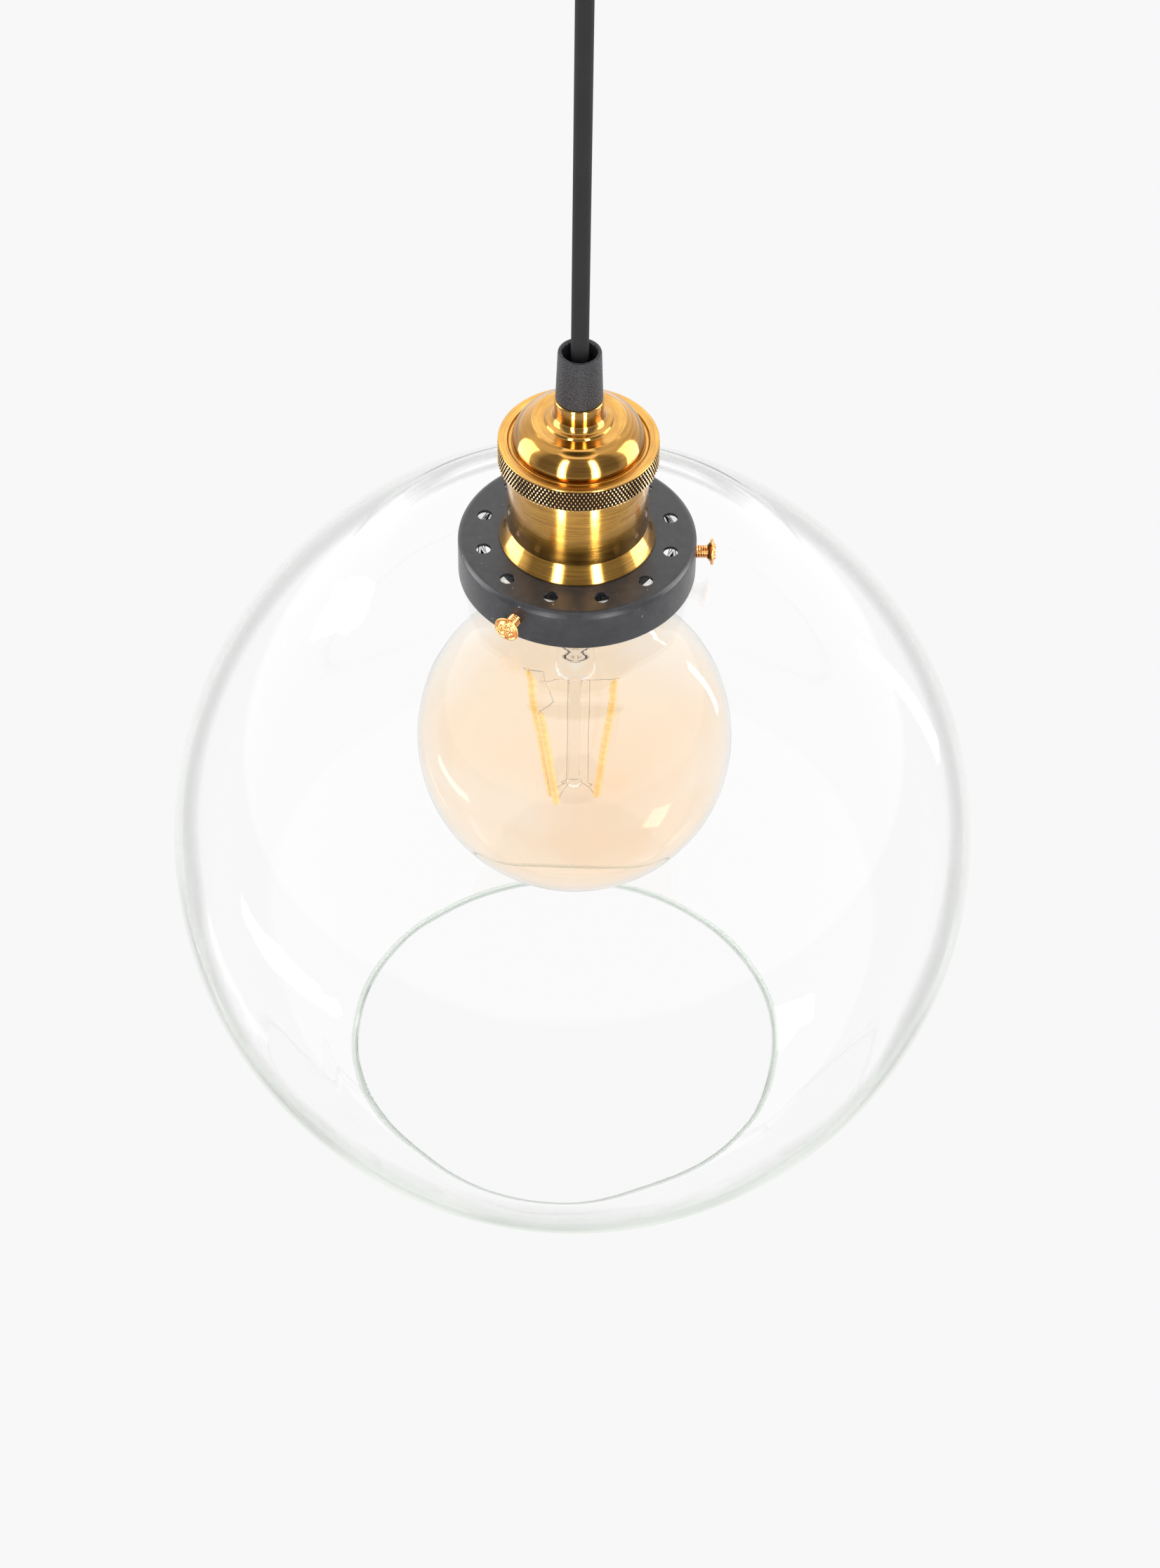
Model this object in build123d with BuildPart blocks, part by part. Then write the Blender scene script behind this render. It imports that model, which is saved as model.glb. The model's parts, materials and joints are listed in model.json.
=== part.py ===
from build123d import *
import math
import os

# Pendant ceiling light: ceiling fitting, cord, brass lampholder, black gallery plate,
# clear glass globe held by three thumb screws, and a globe-shaped LED filament bulb.
# Millimetres, +Z up. The origin is the centre of the ceiling plane and the lamp hangs
# below it, along -Z. The lamp's front is -Y.

os.makedirs("parts", exist_ok=True)

# Driving dimensions of the glass globe and its place under the ceiling.
GLOBE_RADIUS = 125.0
GLASS_THICKNESS = 2.6
GLOBE_Z = -384.0
MOUTH_DEPTH = 101.5
SHOULDER_START = 103.0
NECK_RADIUS = 29.3
NECK_LIP_RADIUS = 1.5

# Gallery plate.
PLATE_RADIUS = 34.6
PLATE_WALL = 1.0
PLATE_TOP = GLOBE_Z + 127.7
SKIRT_HEIGHT = 13.1
PLATE_EDGE = 1.8
VENT_COUNT = 12
VENT_RADIUS = 2.15
VENT_CIRCLE = 27.9
GRIP_SCREW_COUNT = 3
THUMB_SCREW_Z = GLOBE_Z + 121.3

# Brass lampholder.
BODY_RADIUS = 20.4
BODY_WALL = 0.8
FLARE_RADIUS = 22.8
FLARE_HEIGHT = 5.5
SKIRT_TUBE_RADIUS = 19.8
SKIRT_TUBE_DROP = 11.2
BODY_HEIGHT = 28.5
CAP_RADIUS = 23.0
KNURL_HEIGHT = 7.3
DOME_RADIUS = 19.0
CROWN_RADIUS = 13.6
CROWN_RISE = 7.4
STEP_RADIUS = 9.3
COLLAR_RADIUS = 7.0
COLLAR_RISE = 7.8
CAP_BOTTOM = PLATE_TOP + BODY_HEIGHT
KNURL_TOP = CAP_BOTTOM + KNURL_HEIGHT
CROWN_TOP = KNURL_TOP + CROWN_RISE
COLLAR_TOP = CROWN_TOP + COLLAR_RISE
CAP_WALL = 1.2
RIM_CHAMFER = 0.5
RIM_FOOT_CHAMFER = 0.3
RIM_GROOVE = 0.6
CROWN_EDGE = 0.4
STEP_RISE = 0.6
COLLAR_FLARE = 2.2
CAP_SHELF = 2.6
FIT = 0.05

# Cord grips, hollow threaded nipples and the cord.
GRIP_LENGTH = 16.4
GRIP_ROOT_RADIUS = 6.7
GRIP_MOUTH_RADIUS = 6.15
GRIP_HOLLOW_RADIUS = 4.83
GRIP_HOLLOW_DEPTH = 7.2
GRIP_WEB = 3.6
CORD_RADIUS = 2.5
CORD_HOLE_RADIUS = 2.6
PIVOT_DEPTH = 4.0
TAIL_GAP = 0.4
NIPPLE_RADIUS = 5.0
NIPPLE_BORE_RADIUS = 3.9
NUT_RADIUS = 8.0
NUT_HEIGHT = 3.2
GRUB_RADIUS = 1.25
GRUB_LENGTH = 3.4
DRIVE_SLOT_WIDTH = 0.5
DRIVE_SLOT_DEPTH = 0.8
NUT_GAP = 1.0
TAIL_LENGTH_INSIDE = 2.0
GRIP_TOP = COLLAR_TOP + GRIP_LENGTH
LAMP_PIVOT_Z = GRIP_TOP - PIVOT_DEPTH

# Ceiling fitting.
CUP_RADIUS = 50.0
CUP_HEIGHT = 28.0
CUP_WALL = 1.0
CUP_EDGE = 5.0
CEILING_GAP = 0.5
CEILING_GRIP_MOUTH = -CUP_HEIGHT - GRIP_LENGTH
CEILING_PIVOT_Z = CEILING_GRIP_MOUTH + PIVOT_DEPTH
STRAP_THICKNESS = 1.5
STRAP_WIDTH = 14.0
EAR_OUTER_X = 47.9
EAR_DROP = 15.0
SLOT_SPACING = 60.0
SLOT_WIDTH = 4.5
SLOT_LENGTH = 12.0
SIDE_SCREW_Z = -10.0
SIDE_SCREW_RADIUS = 1.5
SIDE_SCREW_REACH = 4.0
SIDE_HEAD_RADIUS = 3.6
SIDE_HEAD_THICKNESS = 2.2
SIDE_HOLE_FIT = 0.2
BLOCK_LENGTH = 26.0
BLOCK_DEPTH = 13.0
BLOCK_HEIGHT = 11.0
POLE_PITCH = 8.0
CORE_RADIUS = 0.8
CORE_CIRCLE = 1.25

# E27 lampholder inside and bulb.
BULB_RADIUS = 48.0
BULB_Z = GLOBE_Z + 44.5
BULB_GLASS = 0.9
BULB_SHOULDER_ANGLE = 46.0
BULB_CAP_RADIUS = 13.1
BULB_CAP_WALL = 0.3
BULB_CAP_BOTTOM = GLOBE_Z + 111.0
BULB_CAP_HEIGHT = 21.0
BULB_CONTACT_TOP = GLOBE_Z + 138.0
SHELL_RADIUS = 13.8
SHELL_BORE = 13.3
SHELL_TOP = GLOBE_Z + 137.5
CORE_TOP = GLOBE_Z + 147.0
CORE_WEB_BOTTOM = GLOBE_Z + 140.0
FILAMENT_RADIUS = 1.0
FILAMENT_TOP_Z = GLOBE_Z + 65.0
FILAMENT_BOTTOM_Z = GLOBE_Z + 17.0
FILAMENT_TOPS = ((-14.6, 9.6), (-10.2, -10.7), (11.9, 2.4))
FILAMENT_BOTTOMS = ((-7.0, 0.5), (-5.3, -2.8), (7.0, 0.5))
PINCH_Z = GLOBE_Z + 70.0
ROD_END_Z = GLOBE_Z + 23.4
WIRE_RADIUS = 0.25
WIRE_END_GAP = 0.1


def polar(radius, degrees):
    """Return the point at a radius and an angle round the vertical axis."""
    angle = math.radians(degrees)
    return radius * math.cos(angle), radius * math.sin(angle)


def disc(bottom, height, outer, inner=0.0):
    """Return a builder that holds one upright disc or tube."""
    with BuildPart() as piece:
        with BuildSketch(Plane.XY.offset(bottom)):
            Circle(outer)
            if inner > 0:
                Circle(inner, mode=Mode.SUBTRACT)
        extrude(amount=height)
    return piece


def wire(points, radius, bend):
    """Return a builder that holds one round wire with equal bends at its corners."""
    with BuildPart() as piece:
        with BuildLine() as path:
            if len(points) == 2:
                Line(*points)
            else:
                FilletPolyline(*points, radius=bend)
        with BuildSketch(Plane(origin=path.line @ 0, z_dir=path.line % 0)):
            Circle(radius)
        sweep()
    return piece


def rod(start, end, radius):
    """Return a builder that holds one straight round rod."""
    return wire((start, end), radius, 0)


def together(builders):
    """Return a builder that holds several finished pieces as separate solids."""
    with BuildPart() as group:
        for builder in builders:
            add(builder.part)
    return group


def cord_grip(root_z, direction):
    """Return a tapered cord grip from its root to its open mouth along +Z or -Z."""
    mouth_z = root_z + direction * GRIP_LENGTH
    hollow_z = mouth_z - direction * GRIP_HOLLOW_DEPTH
    socket_z = hollow_z - direction * GRIP_WEB
    with BuildPart() as grip:
        with BuildSketch(Plane.XZ):
            with BuildLine():
                Polyline(
                    (NIPPLE_RADIUS + FIT, root_z),
                    (GRIP_ROOT_RADIUS, root_z),
                    (GRIP_MOUTH_RADIUS, mouth_z),
                    (GRIP_HOLLOW_RADIUS, mouth_z),
                    (GRIP_HOLLOW_RADIUS, hollow_z),
                    (CORD_HOLE_RADIUS, hollow_z),
                    (CORD_HOLE_RADIUS, socket_z),
                    (NIPPLE_RADIUS + FIT, socket_z),
                    close=True,
                )
            make_face()
        revolve(axis=Axis.Z)
        with BuildSketch(Plane.XZ):
            with Locations((0, (hollow_z + socket_z) / 2)):
                Circle(GRUB_RADIUS)
        extrude(amount=-GRIP_ROOT_RADIUS, mode=Mode.SUBTRACT)
    return grip


def grub_screw(web_z):
    """Return the small set screw that presses on the cord from the back of a grip."""
    with BuildPart() as screw:
        with BuildSketch(Plane.XZ.offset(-CORD_RADIUS)):
            with Locations((0, web_z)):
                Circle(GRUB_RADIUS)
        extrude(amount=-GRUB_LENGTH)
        with BuildSketch(Plane.XZ.offset(-CORD_RADIUS - GRUB_LENGTH)):
            with Locations((0, web_z)):
                Rectangle(2 * GRUB_RADIUS, DRIVE_SLOT_WIDTH)
        extrude(amount=DRIVE_SLOT_DEPTH, mode=Mode.SUBTRACT)
    return screw


def hex_nut(bottom):
    """Return the thin hexagon nut that locks a hollow nipple."""
    with BuildPart() as nut:
        with BuildSketch(Plane.XY.offset(bottom)):
            RegularPolygon(NUT_RADIUS, 6)
            Circle(NIPPLE_RADIUS + FIT, mode=Mode.SUBTRACT)
        extrude(amount=NUT_HEIGHT)
    return nut


# Proportions of a dished screw head, as shares of its radius and thickness.
TIP_SHARE = 0.75
UNDERSIDE_SHARE = 0.62
RIM_START_SHARE = 0.45
RIM_INNER_SHARE = 0.78
DISH_SHARE = 0.55
DISH_FLOOR_SHARE = 0.65


def thumb_screw(degrees, z, shank_radius, tip, seat, head_radius, head_thickness):
    """Return a screw that lies on a radius, with a dished head at its outer end."""
    x_dir = (*polar(1.0, degrees), 0)
    with BuildPart() as screw:
        with BuildSketch(Plane(origin=(0, 0, z), x_dir=x_dir, z_dir=(0, 0, 1))):
            with BuildLine():
                Polyline(
                    (tip, 0),
                    (tip, TIP_SHARE * shank_radius),
                    (tip + (1 - TIP_SHARE) * shank_radius, shank_radius),
                    (seat, shank_radius),
                    (seat, UNDERSIDE_SHARE * head_radius),
                    (seat + RIM_START_SHARE * head_thickness, head_radius),
                    (seat + head_thickness, head_radius),
                    (seat + head_thickness, RIM_INNER_SHARE * head_radius),
                    (seat + DISH_FLOOR_SHARE * head_thickness, DISH_SHARE * head_radius),
                    (seat + DISH_FLOOR_SHARE * head_thickness, 0),
                    close=True,
                )
            make_face()
        revolve(axis=Axis(origin=(0, 0, z), direction=x_dir))
    return screw


# Ceiling strap: a steel bar with two slots for ceiling screws and two threaded ears.
with BuildPart() as ceiling_bracket:
    with BuildSketch(Plane.XZ):
        with BuildLine():
            Polyline(
                (-EAR_OUTER_X, 0),
                (EAR_OUTER_X, 0),
                (EAR_OUTER_X, -EAR_DROP),
                (EAR_OUTER_X - STRAP_THICKNESS, -EAR_DROP),
                (EAR_OUTER_X - STRAP_THICKNESS, -STRAP_THICKNESS),
                (-EAR_OUTER_X + STRAP_THICKNESS, -STRAP_THICKNESS),
                (-EAR_OUTER_X + STRAP_THICKNESS, -EAR_DROP),
                (-EAR_OUTER_X, -EAR_DROP),
                close=True,
            )
        make_face()
    extrude(amount=STRAP_WIDTH / 2, both=True)
    with BuildSketch(Plane.XY):
        with GridLocations(SLOT_SPACING, 1, 2, 1):
            SlotOverall(SLOT_LENGTH, SLOT_WIDTH)
        with Locations((POLE_PITCH / 2, 0)):
            Circle(SIDE_SCREW_RADIUS + FIT)
    extrude(amount=-STRAP_THICKNESS, mode=Mode.SUBTRACT)
    with BuildSketch(Plane.YZ):
        with Locations((0, SIDE_SCREW_Z)):
            Circle(SIDE_SCREW_RADIUS + FIT)
    extrude(amount=EAR_OUTER_X, both=True, mode=Mode.SUBTRACT)

# Ceiling cup: a spun steel cup, open at the ceiling, with a rounded lower edge.
with BuildPart() as ceiling_cup:
    with BuildSketch(Plane.XY.offset(-CUP_HEIGHT)):
        Circle(CUP_RADIUS)
    extrude(amount=CUP_HEIGHT - CEILING_GAP)
    fillet(ceiling_cup.edges().group_by(Axis.Z)[0], radius=CUP_EDGE)
    offset(amount=-CUP_WALL, openings=ceiling_cup.faces().sort_by(Axis.Z)[-1])
    with BuildSketch(Plane.XY.offset(-CUP_HEIGHT)):
        Circle(NIPPLE_RADIUS + FIT)
    extrude(amount=CUP_WALL, mode=Mode.SUBTRACT)
    with BuildSketch(Plane.YZ):
        with Locations((0, SIDE_SCREW_Z)):
            Circle(SIDE_SCREW_RADIUS + SIDE_HOLE_FIT)
    extrude(amount=CUP_RADIUS, both=True, mode=Mode.SUBTRACT)

cup_side_screws = together(
    thumb_screw(
        degrees,
        SIDE_SCREW_Z,
        SIDE_SCREW_RADIUS,
        EAR_OUTER_X - SIDE_SCREW_REACH,
        CUP_RADIUS,
        SIDE_HEAD_RADIUS,
        SIDE_HEAD_THICKNESS,
    )
    for degrees in (0, 180)
)

# Three-pole terminal block under the strap, with brass inserts and clamp screws.
BLOCK_TOP = -STRAP_THICKNESS
BLOCK_BOTTOM = BLOCK_TOP - BLOCK_HEIGHT
BORE_Z = BLOCK_TOP - 5.0
BLOCK_CORNER = 1.5
BLOCK_SCREW_RADIUS = 1.35
BLOCK_HEAD_RADIUS = 1.9
BLOCK_HEAD_HEIGHT = 1.2
BLOCK_HOLE_RADIUS = 1.4
INSERT_WIDTH = 4.6
INSERT_HEIGHT = 5.2
BORE_RADIUS = 1.4
CLAMP_RADIUS = 1.2
CLAMP_PITCH = 7.0
CLAMP_DRIVE_RADIUS = 1.7
CLAMP_RECESS = 1.0
CLAMP_TOUCH_GAP = 0.1
CLAMP_SLOT_DEPTH = 0.7
INSERT_INSET = 0.5

with BuildPart() as terminal_block:
    with BuildSketch(Plane.XY.offset(BLOCK_BOTTOM)):
        RectangleRounded(BLOCK_LENGTH, BLOCK_DEPTH, BLOCK_CORNER)
    extrude(amount=BLOCK_HEIGHT)
    with BuildSketch(Plane.XZ):
        with GridLocations(POLE_PITCH, 1, 3, 1):
            with Locations((0, BORE_Z)):
                Rectangle(INSERT_WIDTH, INSERT_HEIGHT)
    extrude(amount=BLOCK_DEPTH / 2, both=True, mode=Mode.SUBTRACT)
    with BuildSketch(Plane.XY.offset(BLOCK_BOTTOM)):
        with GridLocations(POLE_PITCH, CLAMP_PITCH, 3, 2):
            Circle(CLAMP_DRIVE_RADIUS)
    extrude(amount=BORE_Z - BLOCK_BOTTOM, mode=Mode.SUBTRACT)
    with BuildSketch(Plane.XY.offset(BLOCK_BOTTOM)):
        with Locations((POLE_PITCH / 2, 0)):
            Circle(BLOCK_HOLE_RADIUS)
    extrude(amount=BLOCK_HEIGHT, mode=Mode.SUBTRACT)

with BuildPart() as terminal_inserts:
    with BuildSketch(Plane.XZ):
        with GridLocations(POLE_PITCH, 1, 3, 1):
            with Locations((0, BORE_Z)):
                Rectangle(INSERT_WIDTH, INSERT_HEIGHT)
                Circle(BORE_RADIUS, mode=Mode.SUBTRACT)
    extrude(amount=BLOCK_DEPTH / 2 - INSERT_INSET, both=True)
    with BuildSketch(Plane.XY.offset(BLOCK_BOTTOM)):
        with GridLocations(POLE_PITCH, CLAMP_PITCH, 3, 2):
            Circle(CLAMP_RADIUS)
    extrude(amount=BORE_Z - BLOCK_BOTTOM, mode=Mode.SUBTRACT)

with BuildPart() as terminal_screws:
    with BuildSketch(Plane.XY.offset(BLOCK_BOTTOM + CLAMP_RECESS)):
        with GridLocations(POLE_PITCH, CLAMP_PITCH, 3, 2):
            Circle(CLAMP_RADIUS - FIT)
    extrude(amount=BORE_Z - CORE_RADIUS - BLOCK_BOTTOM - CLAMP_RECESS - CLAMP_TOUCH_GAP)
    with BuildSketch(Plane.XY.offset(BLOCK_BOTTOM + CLAMP_RECESS)):
        with GridLocations(POLE_PITCH, CLAMP_PITCH, 3, 2):
            Rectangle(2 * CLAMP_RADIUS, DRIVE_SLOT_WIDTH)
    extrude(amount=CLAMP_SLOT_DEPTH, mode=Mode.SUBTRACT)

with BuildPart() as block_screw:
    with BuildSketch(Plane.XY.offset(BLOCK_BOTTOM)):
        with Locations((POLE_PITCH / 2, 0)):
            Circle(BLOCK_SCREW_RADIUS)
    extrude(amount=BLOCK_HEIGHT + STRAP_THICKNESS)
    with BuildSketch(Plane.XY.offset(BLOCK_BOTTOM - BLOCK_HEAD_HEIGHT)):
        with Locations((POLE_PITCH / 2, 0)):
            Circle(BLOCK_HEAD_RADIUS)
    extrude(amount=BLOCK_HEAD_HEIGHT)

# Cord grips, nipples and lock nuts at both ends of the cord.
ceiling_cord_grip = cord_grip(-CUP_HEIGHT, -1)
CEILING_WEB_Z = CEILING_GRIP_MOUTH + GRIP_HOLLOW_DEPTH + GRIP_WEB / 2
ceiling_grip_screw = grub_screw(CEILING_WEB_Z)
CEILING_NIPPLE_BOTTOM = CEILING_WEB_Z + GRIP_WEB / 2
CEILING_NIPPLE_TOP = -CUP_HEIGHT + CUP_WALL + NUT_HEIGHT + NUT_GAP
ceiling_nipple = disc(
    CEILING_NIPPLE_BOTTOM,
    CEILING_NIPPLE_TOP - CEILING_NIPPLE_BOTTOM,
    NIPPLE_RADIUS,
    NIPPLE_BORE_RADIUS,
)
ceiling_lock_nut = hex_nut(-CUP_HEIGHT + CUP_WALL)

cord_grip_sleeve = cord_grip(COLLAR_TOP, 1)
LAMP_WEB_Z = GRIP_TOP - GRIP_HOLLOW_DEPTH - GRIP_WEB / 2
grip_set_screw = grub_screw(LAMP_WEB_Z)
LAMP_NIPPLE_TOP = LAMP_WEB_Z - GRIP_WEB / 2
CAP_CEILING = CROWN_TOP - CAP_WALL
LAMP_NIPPLE_BOTTOM = CAP_CEILING - NUT_HEIGHT - NUT_GAP
threaded_nipple = disc(
    LAMP_NIPPLE_BOTTOM,
    LAMP_NIPPLE_TOP - LAMP_NIPPLE_BOTTOM,
    NIPPLE_RADIUS,
    NIPPLE_BORE_RADIUS,
)
nipple_lock_nut = hex_nut(CAP_CEILING - NUT_HEIGHT)

# The cord hangs straight under the lamp's weight, from pivot to pivot.
with BuildPart() as supply_cord:
    with BuildSketch(Plane.XZ):
        with BuildLine():
            Line((0, LAMP_PIVOT_Z - CORD_RADIUS), (0, CEILING_PIVOT_Z + CORD_RADIUS))
            RadiusArc(
                (0, CEILING_PIVOT_Z + CORD_RADIUS), (CORD_RADIUS, CEILING_PIVOT_Z), CORD_RADIUS
            )
            Line((CORD_RADIUS, CEILING_PIVOT_Z), (CORD_RADIUS, LAMP_PIVOT_Z))
            RadiusArc((CORD_RADIUS, LAMP_PIVOT_Z), (0, LAMP_PIVOT_Z - CORD_RADIUS), CORD_RADIUS)
        make_face()
    revolve(axis=Axis.Z)

# Cord tails held in the grips, with the three insulated cores that leave them.
CEILING_TAIL_BOTTOM = CEILING_PIVOT_Z + CORD_RADIUS + TAIL_GAP
CEILING_TAIL_TOP = CEILING_NIPPLE_TOP + TAIL_LENGTH_INSIDE
ceiling_cord_tail = disc(
    CEILING_TAIL_BOTTOM, CEILING_TAIL_TOP - CEILING_TAIL_BOTTOM, CORD_RADIUS
)
LAMP_TAIL_TOP = LAMP_PIVOT_Z - CORD_RADIUS - TAIL_GAP
LAMP_TAIL_BOTTOM = LAMP_NIPPLE_BOTTOM - TAIL_LENGTH_INSIDE
lamp_cord_tail = disc(LAMP_TAIL_BOTTOM, LAMP_TAIL_TOP - LAMP_TAIL_BOTTOM, CORD_RADIUS)


CORE_RISE = 2.2
CORE_CREST = 3.6
CORE_LOOP = 6.0
CORE_END_Y = -2.5
CEILING_CORE_BEND = 1.0
HOLDER_CORE_BEND = 1.2


def ceiling_core(degrees, pole_x):
    """Return one core from the cord's upper end to its pole of the terminal block."""
    x, y = polar(CORE_CIRCLE, degrees)
    points = (
        (x, y, CEILING_TAIL_TOP),
        (x, y, CEILING_TAIL_TOP + CORE_RISE),
        (pole_x, -BLOCK_DEPTH / 2 - CORE_LOOP, CEILING_TAIL_TOP + CORE_CREST),
        (pole_x, -BLOCK_DEPTH / 2 - CORE_LOOP, BORE_Z),
        (pole_x, CORE_END_Y, BORE_Z),
    )
    return wire(points, CORE_RADIUS, CEILING_CORE_BEND)


ceiling_live_wire = ceiling_core(180, -POLE_PITCH)
ceiling_earth_wire = ceiling_core(270, 0)
ceiling_neutral_wire = ceiling_core(0, POLE_PITCH)

# Brass holder cap: knurled rim, dome, stepped crown and a flared collar for the grip.
with BuildPart() as holder_cap:
    with BuildSketch(Plane.XZ):
        with BuildLine():
            rim = Polyline(
                (BODY_RADIUS + FIT, CAP_BOTTOM),
                (CAP_RADIUS - RIM_FOOT_CHAMFER, CAP_BOTTOM),
                (CAP_RADIUS, CAP_BOTTOM + RIM_FOOT_CHAMFER),
                (CAP_RADIUS, KNURL_TOP - RIM_CHAMFER),
                (CAP_RADIUS - RIM_CHAMFER, KNURL_TOP),
                (DOME_RADIUS + 1.5 * RIM_GROOVE, KNURL_TOP),
                (DOME_RADIUS + RIM_GROOVE, KNURL_TOP - RIM_CHAMFER),
                (DOME_RADIUS, KNURL_TOP - RIM_CHAMFER),
            )
            dome = ThreePointArc(
                rim @ 1,
                (DOME_RADIUS - 1.6, KNURL_TOP + 0.58 * CROWN_RISE),
                (CROWN_RADIUS, CROWN_TOP - CROWN_EDGE),
            )
            crown = Polyline(
                dome @ 1,
                (CROWN_RADIUS - CROWN_EDGE, CROWN_TOP),
                (STEP_RADIUS + 0.3, CROWN_TOP),
                (STEP_RADIUS, CROWN_TOP + STEP_RISE),
            )
            flare = ThreePointArc(
                crown @ 1,
                (COLLAR_RADIUS + 0.75, CROWN_TOP + 1.0),
                (COLLAR_RADIUS, CROWN_TOP + COLLAR_FLARE),
            )
            bore = Polyline(
                flare @ 1,
                (COLLAR_RADIUS, COLLAR_TOP),
                (NIPPLE_RADIUS + FIT, COLLAR_TOP),
                (NIPPLE_RADIUS + FIT, CAP_CEILING),
                (CROWN_RADIUS - 1.6, CAP_CEILING),
            )
            inside = ThreePointArc(
                bore @ 1,
                (DOME_RADIUS - 3.0, KNURL_TOP + 0.48 * CROWN_RISE),
                (DOME_RADIUS - CAP_WALL, KNURL_TOP - CAP_SHELF),
            )
            Polyline(
                inside @ 1,
                (BODY_RADIUS + FIT, KNURL_TOP - CAP_SHELF),
                (BODY_RADIUS + FIT, CAP_BOTTOM),
            )
        make_face()
    revolve(axis=Axis.Z)

# Brass holder body: a tube with a flared foot and a narrower threaded skirt below it.
SKIRT_TUBE_BOTTOM = PLATE_TOP - SKIRT_TUBE_DROP
BODY_TOP = KNURL_TOP - CAP_SHELF - 2 * FIT
FLARE_LIP = 0.5
INNER_STEP = 1.0
CORE_FIT = 0.1
SKIRT_TUBE_BORE = SKIRT_TUBE_RADIUS - BODY_WALL
with BuildPart() as holder_body:
    with BuildSketch(Plane.XZ):
        with BuildLine():
            Polyline(
                (SKIRT_TUBE_BORE, SKIRT_TUBE_BOTTOM),
                (SKIRT_TUBE_RADIUS, SKIRT_TUBE_BOTTOM),
                (SKIRT_TUBE_RADIUS, PLATE_TOP),
                (FLARE_RADIUS, PLATE_TOP),
                (FLARE_RADIUS, PLATE_TOP + FLARE_LIP),
                (BODY_RADIUS - 0.4, PLATE_TOP + FLARE_HEIGHT),
                (BODY_RADIUS, PLATE_TOP + FLARE_HEIGHT + 0.3),
                (BODY_RADIUS, BODY_TOP),
                (BODY_RADIUS - BODY_WALL, BODY_TOP),
                (BODY_RADIUS - BODY_WALL, PLATE_TOP + INNER_STEP),
                (SKIRT_TUBE_BORE, PLATE_TOP + INNER_STEP),
                close=True,
            )
        make_face()
    revolve(axis=Axis.Z)

# Ceramic core: sits on the body's inner step and carries both contacts.
SHELL_RIVET_X = 12.0
TIP_RIVET_X = -7.5
RIVET_RADIUS = 1.2
with BuildPart() as socket_core:
    with BuildSketch(Plane.XZ):
        with BuildLine():
            Polyline(
                (SHELL_RADIUS + FIT, SKIRT_TUBE_BOTTOM + INNER_STEP),
                (SKIRT_TUBE_BORE - CORE_FIT, SKIRT_TUBE_BOTTOM + INNER_STEP),
                (SKIRT_TUBE_BORE - CORE_FIT, PLATE_TOP + INNER_STEP),
                (BODY_RADIUS - BODY_WALL - CORE_FIT, PLATE_TOP + INNER_STEP),
                (BODY_RADIUS - BODY_WALL - CORE_FIT, CORE_TOP),
                (0, CORE_TOP),
                (0, CORE_WEB_BOTTOM),
                (SHELL_RADIUS + FIT, CORE_WEB_BOTTOM),
                close=True,
            )
        make_face()
    revolve(axis=Axis.Z)
    with BuildSketch(Plane.XY.offset(CORE_WEB_BOTTOM)):
        with Locations((SHELL_RIVET_X, 0), (TIP_RIVET_X, 0)):
            Circle(RIVET_RADIUS + FIT)
    extrude(amount=CORE_TOP - CORE_WEB_BOTTOM, mode=Mode.SUBTRACT)

# Threaded contact shell of the lampholder, with an inward flange at its top.
SHELL_BOTTOM = GLOBE_Z + 114.5
SHELL_FLANGE_RADIUS = 10.5
SHELL_SHEET = 0.5
with BuildPart() as socket_shell:
    with BuildSketch(Plane.XZ):
        with BuildLine():
            Polyline(
                (SHELL_BORE, SHELL_BOTTOM),
                (SHELL_RADIUS, SHELL_BOTTOM),
                (SHELL_RADIUS, SHELL_TOP),
                (SHELL_FLANGE_RADIUS, SHELL_TOP),
                (SHELL_FLANGE_RADIUS, SHELL_TOP - SHELL_SHEET),
                (SHELL_BORE, SHELL_TOP - SHELL_SHEET),
                close=True,
            )
        make_face()
    revolve(axis=Axis.Z)

# Sprung centre contact: a bent phosphor-bronze leaf under the core's web.
LEAF_WIDTH = 5.0
LEAF_SHEET = 0.6
LEAF_FOOT = 2.0
LEAF_LIFT = 0.3
LEAF_KNEE_X = 2.2
LEAF_TIP_X = 3.4
with BuildPart() as centre_contact:
    with BuildSketch(Plane.XZ):
        with BuildLine():
            Polyline(
                (TIP_RIVET_X - LEAF_FOOT, CORE_WEB_BOTTOM),
                (TIP_RIVET_X + LEAF_FOOT, CORE_WEB_BOTTOM),
                (LEAF_KNEE_X, BULB_CONTACT_TOP + LEAF_LIFT + LEAF_SHEET),
                (LEAF_TIP_X, BULB_CONTACT_TOP + LEAF_LIFT + 2 * LEAF_SHEET),
                (LEAF_TIP_X, BULB_CONTACT_TOP + LEAF_LIFT + LEAF_SHEET),
                (LEAF_KNEE_X, BULB_CONTACT_TOP + LEAF_LIFT),
                (TIP_RIVET_X + LEAF_FOOT - FIT, CORE_WEB_BOTTOM - LEAF_SHEET),
                (TIP_RIVET_X - LEAF_FOOT, CORE_WEB_BOTTOM - LEAF_SHEET),
                close=True,
            )
        make_face()
    extrude(amount=LEAF_WIDTH / 2, both=True)

POST_SIZE = 6.0
POST_SCREW_RISE = 0.8


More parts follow.
